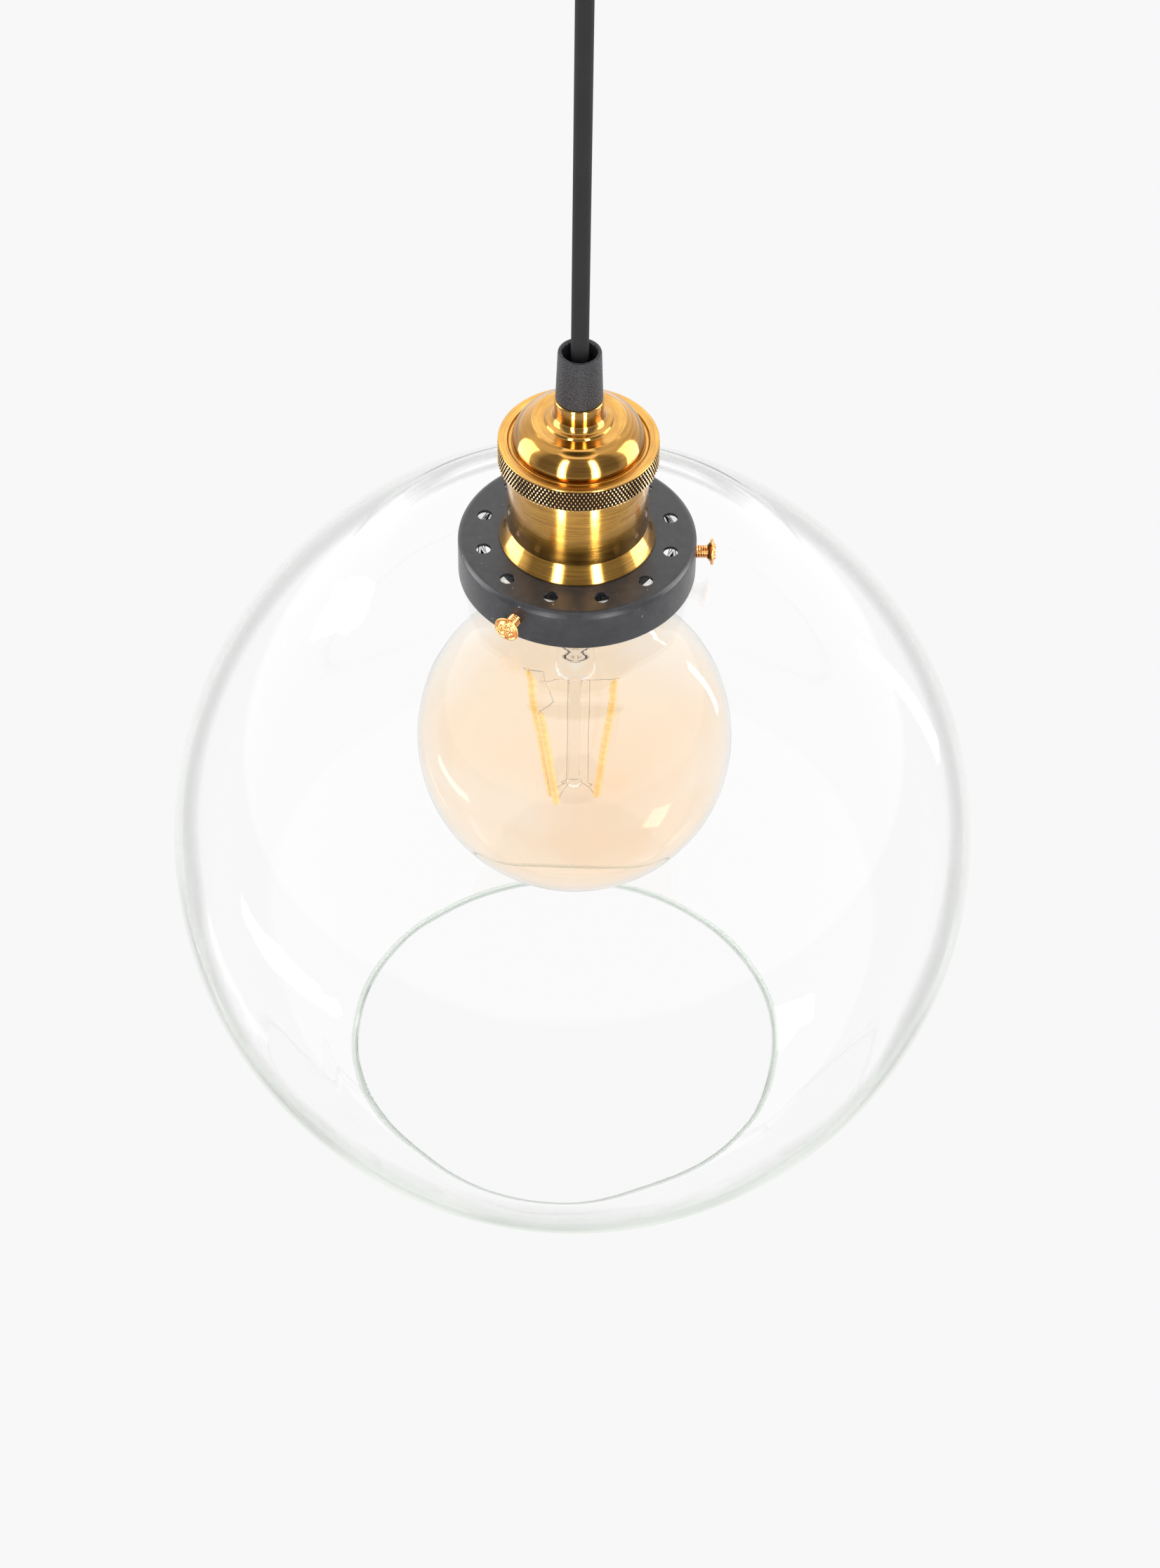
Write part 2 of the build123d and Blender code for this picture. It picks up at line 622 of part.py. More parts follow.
def terminal_post(x, bottom):
    """Return a brass terminal post whose rivet reaches down through the core."""
    with BuildPart() as post:
        with BuildSketch(Plane.XY.offset(CORE_TOP)):
            with Locations((x, 0)):
                Rectangle(POST_SIZE, POST_SIZE)
        extrude(amount=POST_SIZE)
        with BuildSketch(Plane.XY.offset(bottom)):
            with Locations((x, 0)):
                Circle(RIVET_RADIUS)
        extrude(amount=CORE_TOP - bottom)
        with BuildSketch(Plane.XZ):
            with Locations((x, CORE_TOP + POST_SIZE / 2)):
                Circle(BORE_RADIUS)
        extrude(amount=POST_SIZE / 2, both=True, mode=Mode.SUBTRACT)
        with BuildSketch(Plane.XY.offset(CORE_TOP + POST_SIZE / 2)):
            with Locations((x, 0)):
                Circle(CLAMP_RADIUS)
        extrude(amount=POST_SIZE / 2, mode=Mode.SUBTRACT)
    return post


shell_terminal = terminal_post(SHELL_RIVET_X, SHELL_TOP)
tip_terminal = terminal_post(TIP_RIVET_X, CORE_WEB_BOTTOM)

with BuildPart() as holder_terminal_screws:
    with BuildSketch(Plane.XY.offset(CORE_TOP + POST_SIZE / 2 + CORE_RADIUS)):
        with Locations((SHELL_RIVET_X, 0), (TIP_RIVET_X, 0)):
            Circle(CLAMP_RADIUS - FIT)
    extrude(amount=POST_SIZE / 2 + POST_SCREW_RISE)


CORE_DROP = 2.4


def holder_core(degrees, points):
    """Return one core from the cord's lower end through the given points."""
    x, y = polar(CORE_CIRCLE, degrees)
    start = ((x, y, LAMP_TAIL_BOTTOM), (x, y, LAMP_TAIL_BOTTOM - CORE_DROP))
    return wire(start + points, CORE_RADIUS, HOLDER_CORE_BEND)


POST_Z = CORE_TOP + POST_SIZE / 2
WIRE_OUT = 9.0
WIRE_LIFT = 4.0
WIRE_STOP = 0.6
EARTH_HOLE_Y = 11.0
EARTH_WIRE_DROP = 3.2
holder_neutral_wire = holder_core(
    330,
    (
        (SHELL_RIVET_X, -WIRE_OUT, POST_Z + WIRE_LIFT),
        (SHELL_RIVET_X, -WIRE_OUT, POST_Z),
        (SHELL_RIVET_X, -WIRE_STOP, POST_Z),
    ),
)
holder_live_wire = holder_core(
    210,
    (
        (TIP_RIVET_X, -WIRE_OUT, POST_Z + WIRE_LIFT),
        (TIP_RIVET_X, -WIRE_OUT, POST_Z),
        (TIP_RIVET_X, -WIRE_STOP, POST_Z),
    ),
)
holder_earth_wire = holder_core(
    90,
    (
        (0.0, EARTH_HOLE_Y, LAMP_TAIL_BOTTOM - EARTH_WIRE_DROP),
        (0.0, EARTH_HOLE_Y, CAP_CEILING - NUT_HEIGHT),
    ),
)

# Earth tab: a tinned washer under the lock nut, with an ear for the earth core.
TAB_SHEET = 0.5
TAB_RADIUS = 6.6
EAR_WIDTH = 4.0
EAR_LENGTH = 9.0
EAR_CENTRE_Y = 7.6
with BuildPart() as earth_tab:
    with BuildSketch(Plane.XY.offset(CAP_CEILING - NUT_HEIGHT - TAB_SHEET)):
        Circle(TAB_RADIUS)
        with Locations((0, EAR_CENTRE_Y)):
            Rectangle(EAR_WIDTH, EAR_LENGTH)
        Circle(NIPPLE_RADIUS + FIT, mode=Mode.SUBTRACT)
        with Locations((0, EARTH_HOLE_Y)):
            Circle(CORE_RADIUS + FIT, mode=Mode.SUBTRACT)
    extrude(amount=TAB_SHEET)

# Gallery plate: a pressed steel cup with twelve vents and three threaded side holes.
PLATE_BOTTOM = PLATE_TOP - SKIRT_HEIGHT
SCREW_RADIUS = 1.95
with BuildPart() as gallery_plate:
    with BuildSketch(Plane.XY.offset(PLATE_BOTTOM)):
        Circle(PLATE_RADIUS)
    extrude(amount=SKIRT_HEIGHT)
    fillet(gallery_plate.edges().group_by(Axis.Z)[-1], radius=PLATE_EDGE)
    offset(amount=-PLATE_WALL, openings=gallery_plate.faces().sort_by(Axis.Z)[0])
    with BuildSketch(Plane.XY.offset(PLATE_TOP)):
        Circle(SKIRT_TUBE_RADIUS + FIT)
        with PolarLocations(VENT_CIRCLE, VENT_COUNT, start_angle=180 / VENT_COUNT):
            Circle(VENT_RADIUS)
    extrude(amount=-PLATE_WALL, mode=Mode.SUBTRACT)
    for index in range(GRIP_SCREW_COUNT):
        direction = (*polar(1.0, index * 360 / GRIP_SCREW_COUNT), 0)
        with BuildSketch(Plane(origin=(0, 0, THUMB_SCREW_Z), z_dir=direction)):
            Circle(SCREW_RADIUS + FIT)
        extrude(amount=PLATE_RADIUS, mode=Mode.SUBTRACT)

# Shade ring: screws up the holder's skirt and clamps the gallery plate to the flare.
RING_RADIUS = 25.0
RING_HEIGHT = 4.0
RING_RIB_COUNT = 24
RING_RIB_RADIUS = 0.6
with BuildPart() as shade_ring:
    with BuildSketch(Plane.XY.offset(PLATE_TOP - PLATE_WALL - RING_HEIGHT)):
        Circle(RING_RADIUS)
        Circle(SKIRT_TUBE_RADIUS + FIT, mode=Mode.SUBTRACT)
    extrude(amount=RING_HEIGHT)
    with BuildSketch(Plane.XY.offset(PLATE_TOP - PLATE_WALL - RING_HEIGHT)):
        with PolarLocations(RING_RADIUS, RING_RIB_COUNT):
            Circle(RING_RIB_RADIUS)
    extrude(amount=RING_HEIGHT, mode=Mode.SUBTRACT)

# Thumb screws: their tips reach under the lip of the glass neck.
SCREW_TIP_GAP = 0.35
SCREW_TIP = NECK_RADIUS + SCREW_TIP_GAP
SCREW_SEAT = 38.0
SCREW_HEAD_RADIUS = 3.9
SCREW_HEAD_THICKNESS = 2.4
thumb_screws = [
    thumb_screw(
        index * 360 / GRIP_SCREW_COUNT,
        THUMB_SCREW_Z,
        SCREW_RADIUS,
        SCREW_TIP,
        SCREW_SEAT,
        SCREW_HEAD_RADIUS,
        SCREW_HEAD_THICKNESS,
    )
    for index in range(GRIP_SCREW_COUNT)
]

# Glass globe: a blown sphere, cut open below, with a shoulder, a neck and a thick lip.
NECK_TOP = GLOBE_Z + 124.4


def blown_curve(centre_z, radius, low, high, through, top_z):
    """Draw a sphere's arc that runs on over a shoulder and up a neck; return its ends."""
    wall = CenterArc((0, centre_z), radius, low, high - low)
    bend = Spline(wall @ 1, *through, tangents=(wall % 1, (0, 1)))
    neck = Line(bend @ 1, (through[-1][0], top_z))
    return wall @ 0, neck @ 1


def globe_curve(inset):
    """Draw the globe's outline, moved into the glass by an inset."""
    through = (
        (46.0, GLOBE_Z + 112.9 - inset),
        (36.0 - 0.1 * inset, GLOBE_Z + 113.4 - inset),
        (NECK_RADIUS - inset, GLOBE_Z + 119.0),
    )
    radius = GLOBE_RADIUS - inset
    low = -math.degrees(math.asin(MOUTH_DEPTH / radius))
    high = math.degrees(math.asin(SHOULDER_START / GLOBE_RADIUS))
    return blown_curve(GLOBE_Z, radius, low, high, through, NECK_TOP)


with BuildPart() as glass_globe:
    with BuildSketch(Plane.XZ):
        with BuildLine():
            outer_foot, outer_top = globe_curve(0)
            inner_foot, inner_top = globe_curve(GLASS_THICKNESS)
            Line(outer_foot, inner_foot)
            Line(outer_top, inner_top)
        make_face()
    revolve(axis=Axis.Z)
    with BuildSketch(Plane.XZ):
        with Locations((NECK_RADIUS - 0.1 + NECK_LIP_RADIUS / 2, NECK_TOP + 0.3)):
            Ellipse(NECK_LIP_RADIUS + 0.9, NECK_LIP_RADIUS - 0.1)
    revolve(axis=Axis.Z)

# Bulb envelope: a blown globe with a tapered neck that enters the screw cap.
BULB_NECK_RADIUS = BULB_CAP_RADIUS - BULB_CAP_WALL - FIT
NECK_INSERTION = 7.0
BULB_NECK_TOP = BULB_CAP_BOTTOM + NECK_INSERTION


def bulb_curve(inset):
    """Draw the bulb's outline, moved into the glass by an inset."""
    through = (
        (17.8 - 0.9 * inset, GLOBE_Z + 97.0 - 0.4 * inset),
        (BULB_NECK_RADIUS - inset, GLOBE_Z + 110.5),
    )
    return blown_curve(
        BULB_Z, BULB_RADIUS - inset, -90, BULB_SHOULDER_ANGLE, through, BULB_NECK_TOP
    )


with BuildPart() as bulb_envelope:
    with BuildSketch(Plane.XZ):
        with BuildLine():
            outer_foot, outer_top = bulb_curve(0)
            inner_foot, inner_top = bulb_curve(BULB_GLASS)
            Line(outer_foot, inner_foot)
            Line(outer_top, inner_top)
        make_face()
    revolve(axis=Axis.Z)

# Screw cap, glass insulator and centre contact of the bulb.
CAP_SHOULDER = BULB_CAP_BOTTOM + BULB_CAP_HEIGHT
CAP_CREST_RADIUS = 9.0
CAP_CREST_RISE = 1.6
INSULATOR_HEIGHT = 2.6
INSULATOR_TAPER = 40
INSULATOR_BORE = 1.2
CONTACT_RADIUS = 4.6
CONTACT_FILLET = 1.2
with BuildPart() as bulb_screw_cap:
    with BuildSketch(Plane.XZ):
        with BuildLine():
            Polyline(
                (BULB_CAP_RADIUS - BULB_CAP_WALL, BULB_CAP_BOTTOM),
                (BULB_CAP_RADIUS, BULB_CAP_BOTTOM),
                (BULB_CAP_RADIUS, CAP_SHOULDER),
                (CAP_CREST_RADIUS, CAP_SHOULDER + CAP_CREST_RISE),
                (CAP_CREST_RADIUS, CAP_SHOULDER + CAP_CREST_RISE - BULB_CAP_WALL),
                (BULB_CAP_RADIUS - BULB_CAP_WALL, CAP_SHOULDER - 0.2),
                close=True,
            )
        make_face()
    revolve(axis=Axis.Z)

with BuildPart() as bulb_insulator:
    with BuildSketch(Plane.XY.offset(CAP_SHOULDER + CAP_CREST_RISE)):
        Circle(CAP_CREST_RADIUS)
    extrude(amount=INSULATOR_HEIGHT, taper=INSULATOR_TAPER)
    with BuildSketch(Plane.XY.offset(CAP_SHOULDER + CAP_CREST_RISE)):
        Circle(INSULATOR_BORE)
    extrude(amount=INSULATOR_HEIGHT, mode=Mode.SUBTRACT)

INSULATOR_TOP = CAP_SHOULDER + CAP_CREST_RISE + INSULATOR_HEIGHT
with BuildPart() as bulb_contact:
    with BuildSketch(Plane.XY.offset(INSULATOR_TOP)):
        Circle(CONTACT_RADIUS)
    extrude(amount=BULB_CONTACT_TOP - INSULATOR_TOP)
    fillet(bulb_contact.edges().group_by(Axis.Z)[-1], radius=CONTACT_FILLET)

# Glass stem: flare, exhaust tube, pinch and the rod that carries the lower hooks.
STEM_TOP = BULB_NECK_TOP
STEM_FOOT_RADIUS = BULB_NECK_RADIUS - BULB_GLASS - 0.1
STEM_FOOT_WALL = 1.1
FLARE_RADIUS_OUT = 6.2
FLARE_RADIUS_IN = 5.1
FLARE_DROP = 10.0
TUBE_RADIUS = 5.0
TUBE_BORE = 3.9
TUBE_RISE = 18.0
TUBE_END_RISE = 9.0
ROD_RADIUS = 1.9
ROD_BEAD_RADIUS = 2.4
with BuildPart() as bulb_stem:
    with BuildSketch(Plane.XZ):
        with BuildLine():
            stem_side = Spline(
                (STEM_FOOT_RADIUS, STEM_TOP),
                (FLARE_RADIUS_OUT, STEM_TOP - FLARE_DROP),
                (TUBE_RADIUS, PINCH_Z + TUBE_RISE),
                (5.4, PINCH_Z + 5.0),
                (3.6, PINCH_Z),
            )
            Polyline(
                stem_side @ 1,
                (ROD_RADIUS, PINCH_Z - 1.0),
                (ROD_RADIUS, ROD_END_Z + 1.0),
                (ROD_BEAD_RADIUS, ROD_END_Z),
                (0, ROD_END_Z),
                (0, PINCH_Z + 7.0),
                (TUBE_BORE, PINCH_Z + TUBE_END_RISE),
                (TUBE_BORE, PINCH_Z + TUBE_RISE),
                (FLARE_RADIUS_IN, STEM_TOP - FLARE_DROP),
                (STEM_FOOT_RADIUS - STEM_FOOT_WALL, STEM_TOP),
                (STEM_FOOT_RADIUS, STEM_TOP),
            )
        make_face()
    revolve(axis=Axis.Z)

led_filaments = together(
    rod((*top, FILAMENT_TOP_Z), (*bottom, FILAMENT_BOTTOM_Z), FILAMENT_RADIUS)
    for top, bottom in zip(FILAMENT_TOPS, FILAMENT_BOTTOMS)
)

# Support wires run from the pinch to the filament tops and from the rod to their feet.
SUPPORT_BEND = 0.6
PINCH_REACH = 3.0
HOOK_REACH = 2.6
support_wires = []
for top, bottom in zip(FILAMENT_TOPS, FILAMENT_BOTTOMS):
    reach = math.hypot(*top)
    out = (top[0] / reach, top[1] / reach)
    upper = (
        (PINCH_REACH * out[0], PINCH_REACH * out[1], PINCH_Z - 1.2),
        (top[0], top[1], FILAMENT_TOP_Z + 2.0),
        (top[0], top[1], FILAMENT_TOP_Z + WIRE_END_GAP),
    )
    support_wires.append(wire(upper, WIRE_RADIUS, SUPPORT_BEND))
    foot_reach = math.hypot(*bottom)
    foot = (bottom[0] / foot_reach, bottom[1] / foot_reach)
    hook = (HOOK_REACH * foot[0], HOOK_REACH * foot[1], ROD_END_Z + 0.6)
    touch = foot_reach - FILAMENT_RADIUS - WIRE_RADIUS - WIRE_END_GAP
    weld = (touch * foot[0], touch * foot[1], FILAMENT_BOTTOM_Z + 1.0)
    support_wires.append(rod(hook, weld, WIRE_RADIUS))
bulb_support_wires = together(support_wires)

# Driver board in the screw cap, with its capacitor and rectifier, and two lead wires.
BOARD_Z = CAP_SHOULDER - 8.0
BOARD_THICKNESS = 1.2
BOARD_RADIUS = 10.5
CAPACITOR_X = -4.2
CAPACITOR_RADIUS = 3.2
CAPACITOR_HEIGHT = 5.0
RECTIFIER_X = 4.6
RECTIFIER_LENGTH = 4.0
RECTIFIER_WIDTH = 6.0
RECTIFIER_HEIGHT = 2.4
LEAD_X = 2.6
bulb_driver_board = disc(BOARD_Z, BOARD_THICKNESS, BOARD_RADIUS)
with BuildPart() as bulb_driver_parts:
    with BuildSketch(Plane.XY.offset(BOARD_Z + BOARD_THICKNESS)):
        with Locations((CAPACITOR_X, 0)):
            Circle(CAPACITOR_RADIUS)
    extrude(amount=CAPACITOR_HEIGHT)
    with BuildSketch(Plane.XY.offset(BOARD_Z + BOARD_THICKNESS)):
        with Locations((RECTIFIER_X, 0)):
            Rectangle(RECTIFIER_LENGTH, RECTIFIER_WIDTH)
    extrude(amount=RECTIFIER_HEIGHT)

bulb_lead_wires = together(
    rod((side * LEAD_X, 0, PINCH_Z + 8.6), (side * LEAD_X, 0, BOARD_Z), WIRE_RADIUS)
    for side in (-1, 1)
)

pieces = {
    "ceiling_bracket": ceiling_bracket,
    "ceiling_cup": ceiling_cup,
    "cup_side_screws": cup_side_screws,
    "terminal_block": terminal_block,
    "terminal_inserts": terminal_inserts,
    "terminal_screws": terminal_screws,
    "block_screw": block_screw,
    "ceiling_cord_grip": ceiling_cord_grip,
    "ceiling_grip_screw": ceiling_grip_screw,
    "ceiling_nipple": ceiling_nipple,
    "ceiling_lock_nut": ceiling_lock_nut,
    "ceiling_cord_tail": ceiling_cord_tail,
    "ceiling_live_wire": ceiling_live_wire,
    "ceiling_neutral_wire": ceiling_neutral_wire,
    "ceiling_earth_wire": ceiling_earth_wire,
    "supply_cord": supply_cord,
    "cord_grip_sleeve": cord_grip_sleeve,
    "grip_set_screw": grip_set_screw,
    "threaded_nipple": threaded_nipple,
    "nipple_lock_nut": nipple_lock_nut,
    "earth_tab": earth_tab,
    "lamp_cord_tail": lamp_cord_tail,
    "holder_live_wire": holder_live_wire,
    "holder_neutral_wire": holder_neutral_wire,
    "holder_earth_wire": holder_earth_wire,
    "holder_cap": holder_cap,
    "holder_body": holder_body,
    "socket_core": socket_core,
    "socket_shell": socket_shell,
    "centre_contact": centre_contact,
    "shell_terminal": shell_terminal,
    "tip_terminal": tip_terminal,
    "holder_terminal_screws": holder_terminal_screws,
    "gallery_plate": gallery_plate,
    "shade_ring": shade_ring,
    "thumb_screw_right": thumb_screws[0],
    "thumb_screw_back": thumb_screws[1],
    "thumb_screw_front": thumb_screws[2],
    "glass_globe": glass_globe,
    "bulb_envelope": bulb_envelope,
    "bulb_screw_cap": bulb_screw_cap,
    "bulb_insulator": bulb_insulator,
    "bulb_contact": bulb_contact,
    "bulb_stem": bulb_stem,
    "led_filaments": led_filaments,
    "bulb_support_wires": bulb_support_wires,
    "bulb_driver_board": bulb_driver_board,
    "bulb_driver_parts": bulb_driver_parts,
    "bulb_lead_wires": bulb_lead_wires,
}
for label, builder in pieces.items():
    builder.part.label = label
    export_step(builder.part, f"parts/{label}.step")
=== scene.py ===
import json
import math

import bmesh
import bpy
from mathutils import Matrix, Vector, noise


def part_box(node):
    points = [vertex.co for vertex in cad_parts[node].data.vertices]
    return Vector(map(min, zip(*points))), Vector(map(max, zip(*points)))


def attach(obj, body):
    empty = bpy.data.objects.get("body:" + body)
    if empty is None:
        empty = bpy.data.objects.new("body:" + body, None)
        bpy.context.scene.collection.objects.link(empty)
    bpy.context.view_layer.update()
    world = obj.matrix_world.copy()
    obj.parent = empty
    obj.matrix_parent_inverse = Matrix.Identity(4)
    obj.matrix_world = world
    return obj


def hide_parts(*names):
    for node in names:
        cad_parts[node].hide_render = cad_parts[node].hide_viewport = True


# Pendant light: turned brass, powder-coated steel, blown glass and a filament bulb.
# Outlines are in millimetres as (radius, height) or (radius, height, rounding); heights
# are measured from a base that comes from the frame. So are the reliefs, the filaments and
# the numbers named beside them. Objects, lights and texture distances are in metres.

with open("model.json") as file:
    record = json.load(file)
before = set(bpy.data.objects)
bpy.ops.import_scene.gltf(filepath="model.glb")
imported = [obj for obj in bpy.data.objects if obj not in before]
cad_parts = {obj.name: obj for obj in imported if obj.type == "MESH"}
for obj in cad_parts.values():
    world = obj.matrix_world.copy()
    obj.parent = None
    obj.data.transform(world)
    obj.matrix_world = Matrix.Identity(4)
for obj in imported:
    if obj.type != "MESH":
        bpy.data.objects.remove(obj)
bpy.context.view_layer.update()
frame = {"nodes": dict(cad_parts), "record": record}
nodes = frame["nodes"]

MM = 0.001
TURN = 2 * math.pi

PLATE_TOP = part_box("gallery_plate")[1].z
CAP_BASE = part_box("holder_cap")[0].z
GLOBE_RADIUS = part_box("glass_globe")[1].x
GLOBE_DROP = 0.1277
GLOBE_Z = PLATE_TOP - GLOBE_DROP
bulb_low, bulb_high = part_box("bulb_envelope")
BULB_RADIUS = bulb_high.x
BULB_Z = bulb_low.z + BULB_RADIUS


def show(name, data):
    """Put new data in the scene as an object."""
    piece = bpy.data.objects.new(name, data)
    bpy.context.scene.collection.objects.link(piece)
    return piece


# ---------------------------------------------------------------- camera

CAMERA_PITCH = math.radians(46.2)
CAMERA_ROLL = math.radians(0.9)
CAMERA_DISTANCE = 1.091
CAMERA_AIM = Vector((0.0019, 0, GLOBE_Z + 0.0229))
LENS_PIXELS = 5000
IMAGE_HEIGHT = 2233
SENSOR = 36.0


def make_camera():
    """Place the camera in front, looking down at the lampholder."""
    forward = Vector((0, math.cos(CAMERA_PITCH), -math.sin(CAMERA_PITCH)))
    upward = Vector((0, math.sin(CAMERA_PITCH), math.cos(CAMERA_PITCH)))
    right = Vector((1, 0, 0)) * math.cos(CAMERA_ROLL) + upward * math.sin(CAMERA_ROLL)
    upward = right.cross(forward)
    data = bpy.data.cameras.new("camera")
    data.sensor_width = SENSOR
    data.lens = LENS_PIXELS / IMAGE_HEIGHT * SENSOR
    data.clip_end = 50
    camera = show("camera", data)
    turn = Matrix((right, upward, -forward)).transposed()
    place = Matrix.Translation(CAMERA_AIM - forward * CAMERA_DISTANCE)
    camera.matrix_world = place @ turn.to_4x4()
    bpy.context.scene.camera = camera


make_camera()


# ---------------------------------------------------------------- materials

FLOOR_GREY = 0.938


def add_node(tree, kind, **settings):
    node = tree.nodes.new(kind)
    for key, value in settings.items():
        setattr(node, key, value)
    return node


def maths(tree, operation, *values):
    """A Math node whose values are outputs or plain numbers."""
    node = add_node(tree, "ShaderNodeMath", operation=operation)
    for socket, value in zip(node.inputs, values):
        if isinstance(value, (int, float)):
            socket.default_value = value
        else:
            tree.links.new(value, socket)
    return node.outputs[0]


def fill_ramp(node, stops):
    """Give a colour ramp its stops: each is (position, colour or grey)."""
    elements = node.color_ramp.elements
    while len(elements) < len(stops):
        elements.new(0.5)
    for element, (position, colour) in zip(elements, stops):
        element.position = position
        rgb = colour if isinstance(colour, tuple) else (colour, colour, colour)
        element.color = (*rgb, 1)


class Finish:
    """A material on one Principled shader, with short helpers for its texture nodes."""

    def __init__(self, name, colour, roughness, **sockets):
        self.material = bpy.data.materials.new(name)
        self.material.use_nodes = True
        self.tree = self.material.node_tree
        self.shader = self.tree.nodes["Principled BSDF"]
        self.set("Base Color", (*colour, 1))
        self.set("Roughness", roughness)
        for socket, value in sockets.items():
            self.set(socket.replace("_", " "), value)
        self.material.diffuse_color = (*colour, 1)

    def set(self, socket, value):
        self.shader.inputs[socket].default_value = value

    def add(self, kind, **settings):
        return add_node(self.tree, kind, **settings)

    def link(self, out, into):
        self.tree.links.new(out, into)

    def place(self, stretch=(1, 1, 1)):
        """Object coordinates, stretched along the axes."""
        source = self.add("ShaderNodeTexCoord")
        mapping = self.add("ShaderNodeMapping")
        mapping.inputs["Scale"].default_value = stretch
        self.link(source.outputs["Object"], mapping.inputs["Vector"])
        return mapping.outputs["Vector"]

    def round_place(self, around, along):
        """Coordinates that run slowly round the vertical axis and fast along it."""
        source = self.add("ShaderNodeTexCoord")
        split = self.add("ShaderNodeSeparateXYZ")
        self.link(source.outputs["Object"], split.inputs[0])
        flat = self.add("ShaderNodeCombineXYZ")
        self.link(split.outputs["X"], flat.inputs["X"])
        self.link(split.outputs["Y"], flat.inputs["Y"])
        length = self.add("ShaderNodeVectorMath", operation="LENGTH")
        self.link(flat.outputs[0], length.inputs[0])
        unit = self.add("ShaderNodeVectorMath", operation="NORMALIZE")
        self.link(flat.outputs[0], unit.inputs[0])
        slow = self.add("ShaderNodeVectorMath", operation="SCALE")
        slow.inputs["Scale"].default_value = around
        self.link(unit.outputs[0], slow.inputs[0])
        rise = maths(self.tree, "SUBTRACT", split.outputs["Z"], length.outputs["Value"])
        lift = self.add("ShaderNodeCombineXYZ")
        self.link(maths(self.tree, "MULTIPLY", rise, along), lift.inputs["Z"])
        total = self.add("ShaderNodeVectorMath", operation="ADD")
        self.link(slow.outputs[0], total.inputs[0])
        self.link(lift.outputs[0], total.inputs[1])
        return total.outputs[0]

    def rise(self, low, high, top=1.0):
        """The height in the frame as a share from 0 at one level to the top value at another."""
        source = self.add("ShaderNodeTexCoord")
        split = self.add("ShaderNodeSeparateXYZ")
        self.link(source.outputs["Object"], split.inputs[0])
        share = self.add("ShaderNodeMapRange")
        for socket, value in zip(("From Min", "From Max", "To Max"), (low, high, top)):
            share.inputs[socket].default_value = value
        self.link(split.outputs["Z"], share.inputs["Value"])
        return share.outputs[0]

    def facing(self):
        """0 where the surface faces the view and 1 along the edge of its outline."""
        node = self.add("ShaderNodeLayerWeight")
        node.inputs["Blend"].default_value = 0.5
        return node.outputs["Facing"]

    def noise(self, scale, detail=3.0, vector=None):
        texture = self.add("ShaderNodeTexNoise")
        texture.inputs["Scale"].default_value = scale
        texture.inputs["Detail"].default_value = detail
        self.link(vector or self.place(), texture.inputs["Vector"])
        return texture.outputs["Fac"]

    def cells(self, scale):
        texture = self.add("ShaderNodeTexVoronoi")
        texture.inputs["Scale"].default_value = scale
        self.link(self.place(), texture.inputs["Vector"])
        return texture.outputs["Distance"]

    def ramp(self, value, *stops):
        """Map a value to colours or greys: stops are (position, colour)."""
        node = self.add("ShaderNodeValToRGB")
        fill_ramp(node, stops)
        self.link(value, node.inputs["Fac"])
        return node.outputs["Color"]

    def blend(self, factor, first, second, mode="MIX"):
        node = self.add("ShaderNodeMix", data_type="RGBA", blend_type=mode)
        for socket, value in ((0, factor), (6, first), (7, second)):
            if isinstance(value, (int, float)):
                node.inputs[socket].default_value = value
            else:
                self.link(value, node.inputs[socket])
        return node.outputs[2]

    def colour(self, value):
        self.link(value, self.shader.inputs["Base Color"])
        return self

    def roughness(self, value, low, high):
        self.link(self.ramp(value, (0.25, low), (0.75, high)), self.shader.inputs["Roughness"])
        return self

    def bump(self, *layers):
        """Stack bumps: each layer is (height output, distance in metres, strength)."""
        previous = None
        for height, distance, strength in layers:
            node = self.add("ShaderNodeBump")
            node.inputs["Distance"].default_value = distance
            node.inputs["Strength"].default_value = strength
            self.link(height, node.inputs["Height"])
            if previous:
                self.link(previous, node.inputs["Normal"])
            previous = node.outputs["Normal"]
        self.link(previous, self.shader.inputs["Normal"])
        return self

    def see_through(self, share, tint):
        """Mix clear transparency into the surface; share is an output, tint may be one."""
        clear = self.add("ShaderNodeBsdfTransparent")
        if isinstance(tint, tuple):
            clear.inputs["Color"].default_value = (*tint, 1)
        else:
            self.link(tint, clear.inputs["Color"])
        mix = self.add("ShaderNodeMixShader")
        surface = self.tree.nodes["Material Output"].inputs["Surface"]
        self.link(share, mix.inputs[0])
        self.link(surface.links[0].from_socket, mix.inputs[1])
        self.link(clear.outputs[0], mix.inputs[2])
        self.link(mix.outputs[0], surface)
        return self

    def clear_shadows(self, tint):
        """Let light through to what is inside, so that glass casts only a faint shadow."""
        return self.see_through(self.add("ShaderNodeLightPath").outputs["Is Shadow Ray"], tint)


